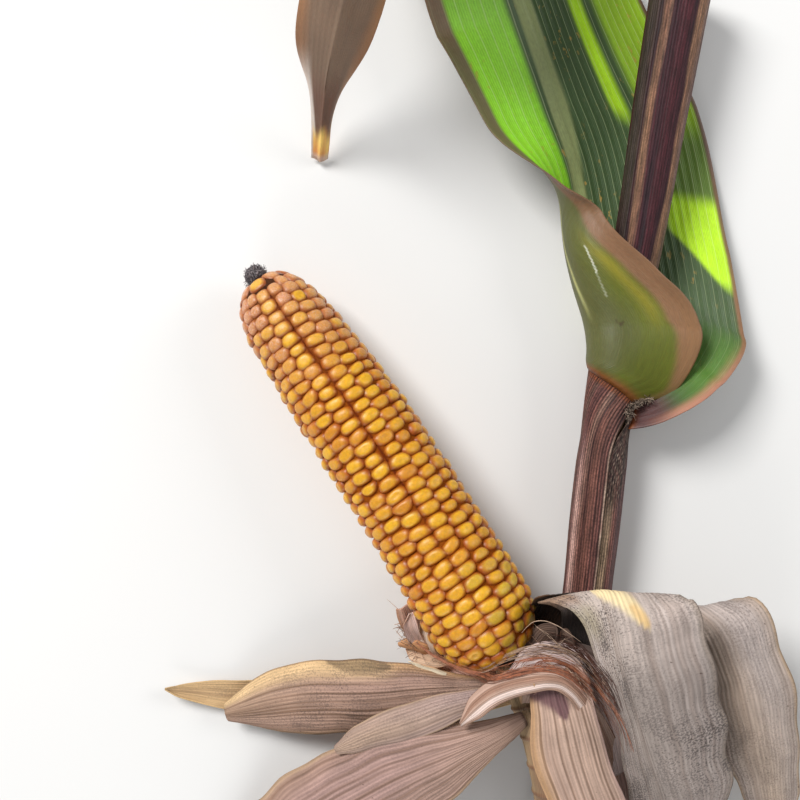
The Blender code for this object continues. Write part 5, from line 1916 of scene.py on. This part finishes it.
def loose_paths(draw):
    """Each strand is a short line whose heading turns evenly, laid on the husks. One that
    would climb over a high husk is left out."""
    centre = np.stack([draw.uniform(48, 78, LOOSE_STRANDS), draw.uniform(-108, -90, LOOSE_STRANDS)],
                      axis=-1)
    heading = draw.uniform(-1.2, 0.5, LOOSE_STRANDS)[:, None]
    length = draw.uniform(9, 22, LOOSE_STRANDS)[:, None]
    t = np.linspace(-0.5, 0.5, LOOSE_STEPS)[None]
    turn = heading + draw.normal(0, 1.1, (LOOSE_STRANDS, 1)) * t
    step = np.stack([np.cos(turn), np.sin(turn)], axis=-1) * (length / LOOSE_STEPS)[..., None]
    flat = centre[:, None] + np.cumsum(step, axis=1) - step.sum(axis=1, keepdims=True) / 2
    height = 44 + 5 * np.sin(2.4 * t + heading)
    laid = laid_on_husks(np.concatenate([flat, height[..., None]], axis=-1), 0.5)
    return laid[laid[..., 2].max(axis=1) < LOOSE_TOP]


# %% The bands, the loose strands and one pale curl
def make_strands():
    """Every band is laid on the husks under it. The curl stands free above them."""
    draw = np.random.default_rng(17)
    for number, (line, count, narrow, wide, colours) in enumerate(SILK_BANDS, 1):
        paths = laid_on_husks(band_paths(draw, line, count, narrow, wide), 0.3)
        make_threads(f"silk_band_{number}", paths, 0.105, colours, draw)
    make_threads("loose_silk", loose_paths(draw), 0.1, (SILK_BROWN, SILK_PALE), draw)
    place, length = smooth_line(PALE_CURL)
    curl = place(np.linspace(0, 1, CURL_STEPS) * length)[None]
    make_threads("pale_curl", curl, 0.16, (SILK_PALE, SILK_PALE * 1.1), draw)


make_strands()

# %% Short hairs: fuzz at the collar's corner, and the frayed end of the torn husk
COLLAR_EDGE = [(92.6, -8.6, 22), (92, -5.2, 24), (94, -2.6, 22.5), (98, -0.8, 20.5),
               (102, 0.6, 19.6)]
FRAY = [(2, -90, 19), (3, -95, 17), (6, -101, 15), (12, -105, 14), (19, -107.5, 13)]


def short_hairs(draw, line, count, steps, length, scatter, lean):
    """Hairs start round a line. Each points its own way near the common lean, and bends."""
    place, reach = smooth_line(line)
    start = place(draw.uniform(0, reach, count)) + draw.normal(0, 1, (count, 3)) * scatter
    heading = unit(np.array(lean) + draw.normal(0, 0.55, (count, 3)))
    bend = draw.normal(0, 0.6, (count, 3))
    t = np.linspace(0, 1, steps)[None, :, None]
    far = draw.uniform(*length, count)[:, None, None]
    return start[:, None] + far * (t * heading[:, None] + t * t * bend[:, None])


def make_short_hairs():
    """Dark fuzz in the collar's corner, and longer pale hairs along the frayed edge."""
    draw = np.random.default_rng(29)
    fuzz = short_hairs(draw, COLLAR_EDGE, 320, 5, (0.9, 2.0), (0.7, 0.6, 0.4), (0, 0.2, 0.8))
    make_threads("collar_fuzz", fuzz, 0.12, (FUZZ_DARK, SEAM_PALE), draw)
    fray = short_hairs(draw, FRAY, 60, 10, (3, 7), (1.6, 1.6, 1.0), (-0.5, 0.3, 0.35))
    make_threads("frayed_husk", fray, 0.14, (SILK_PALE, SILK_BROWN), draw)


make_short_hairs()
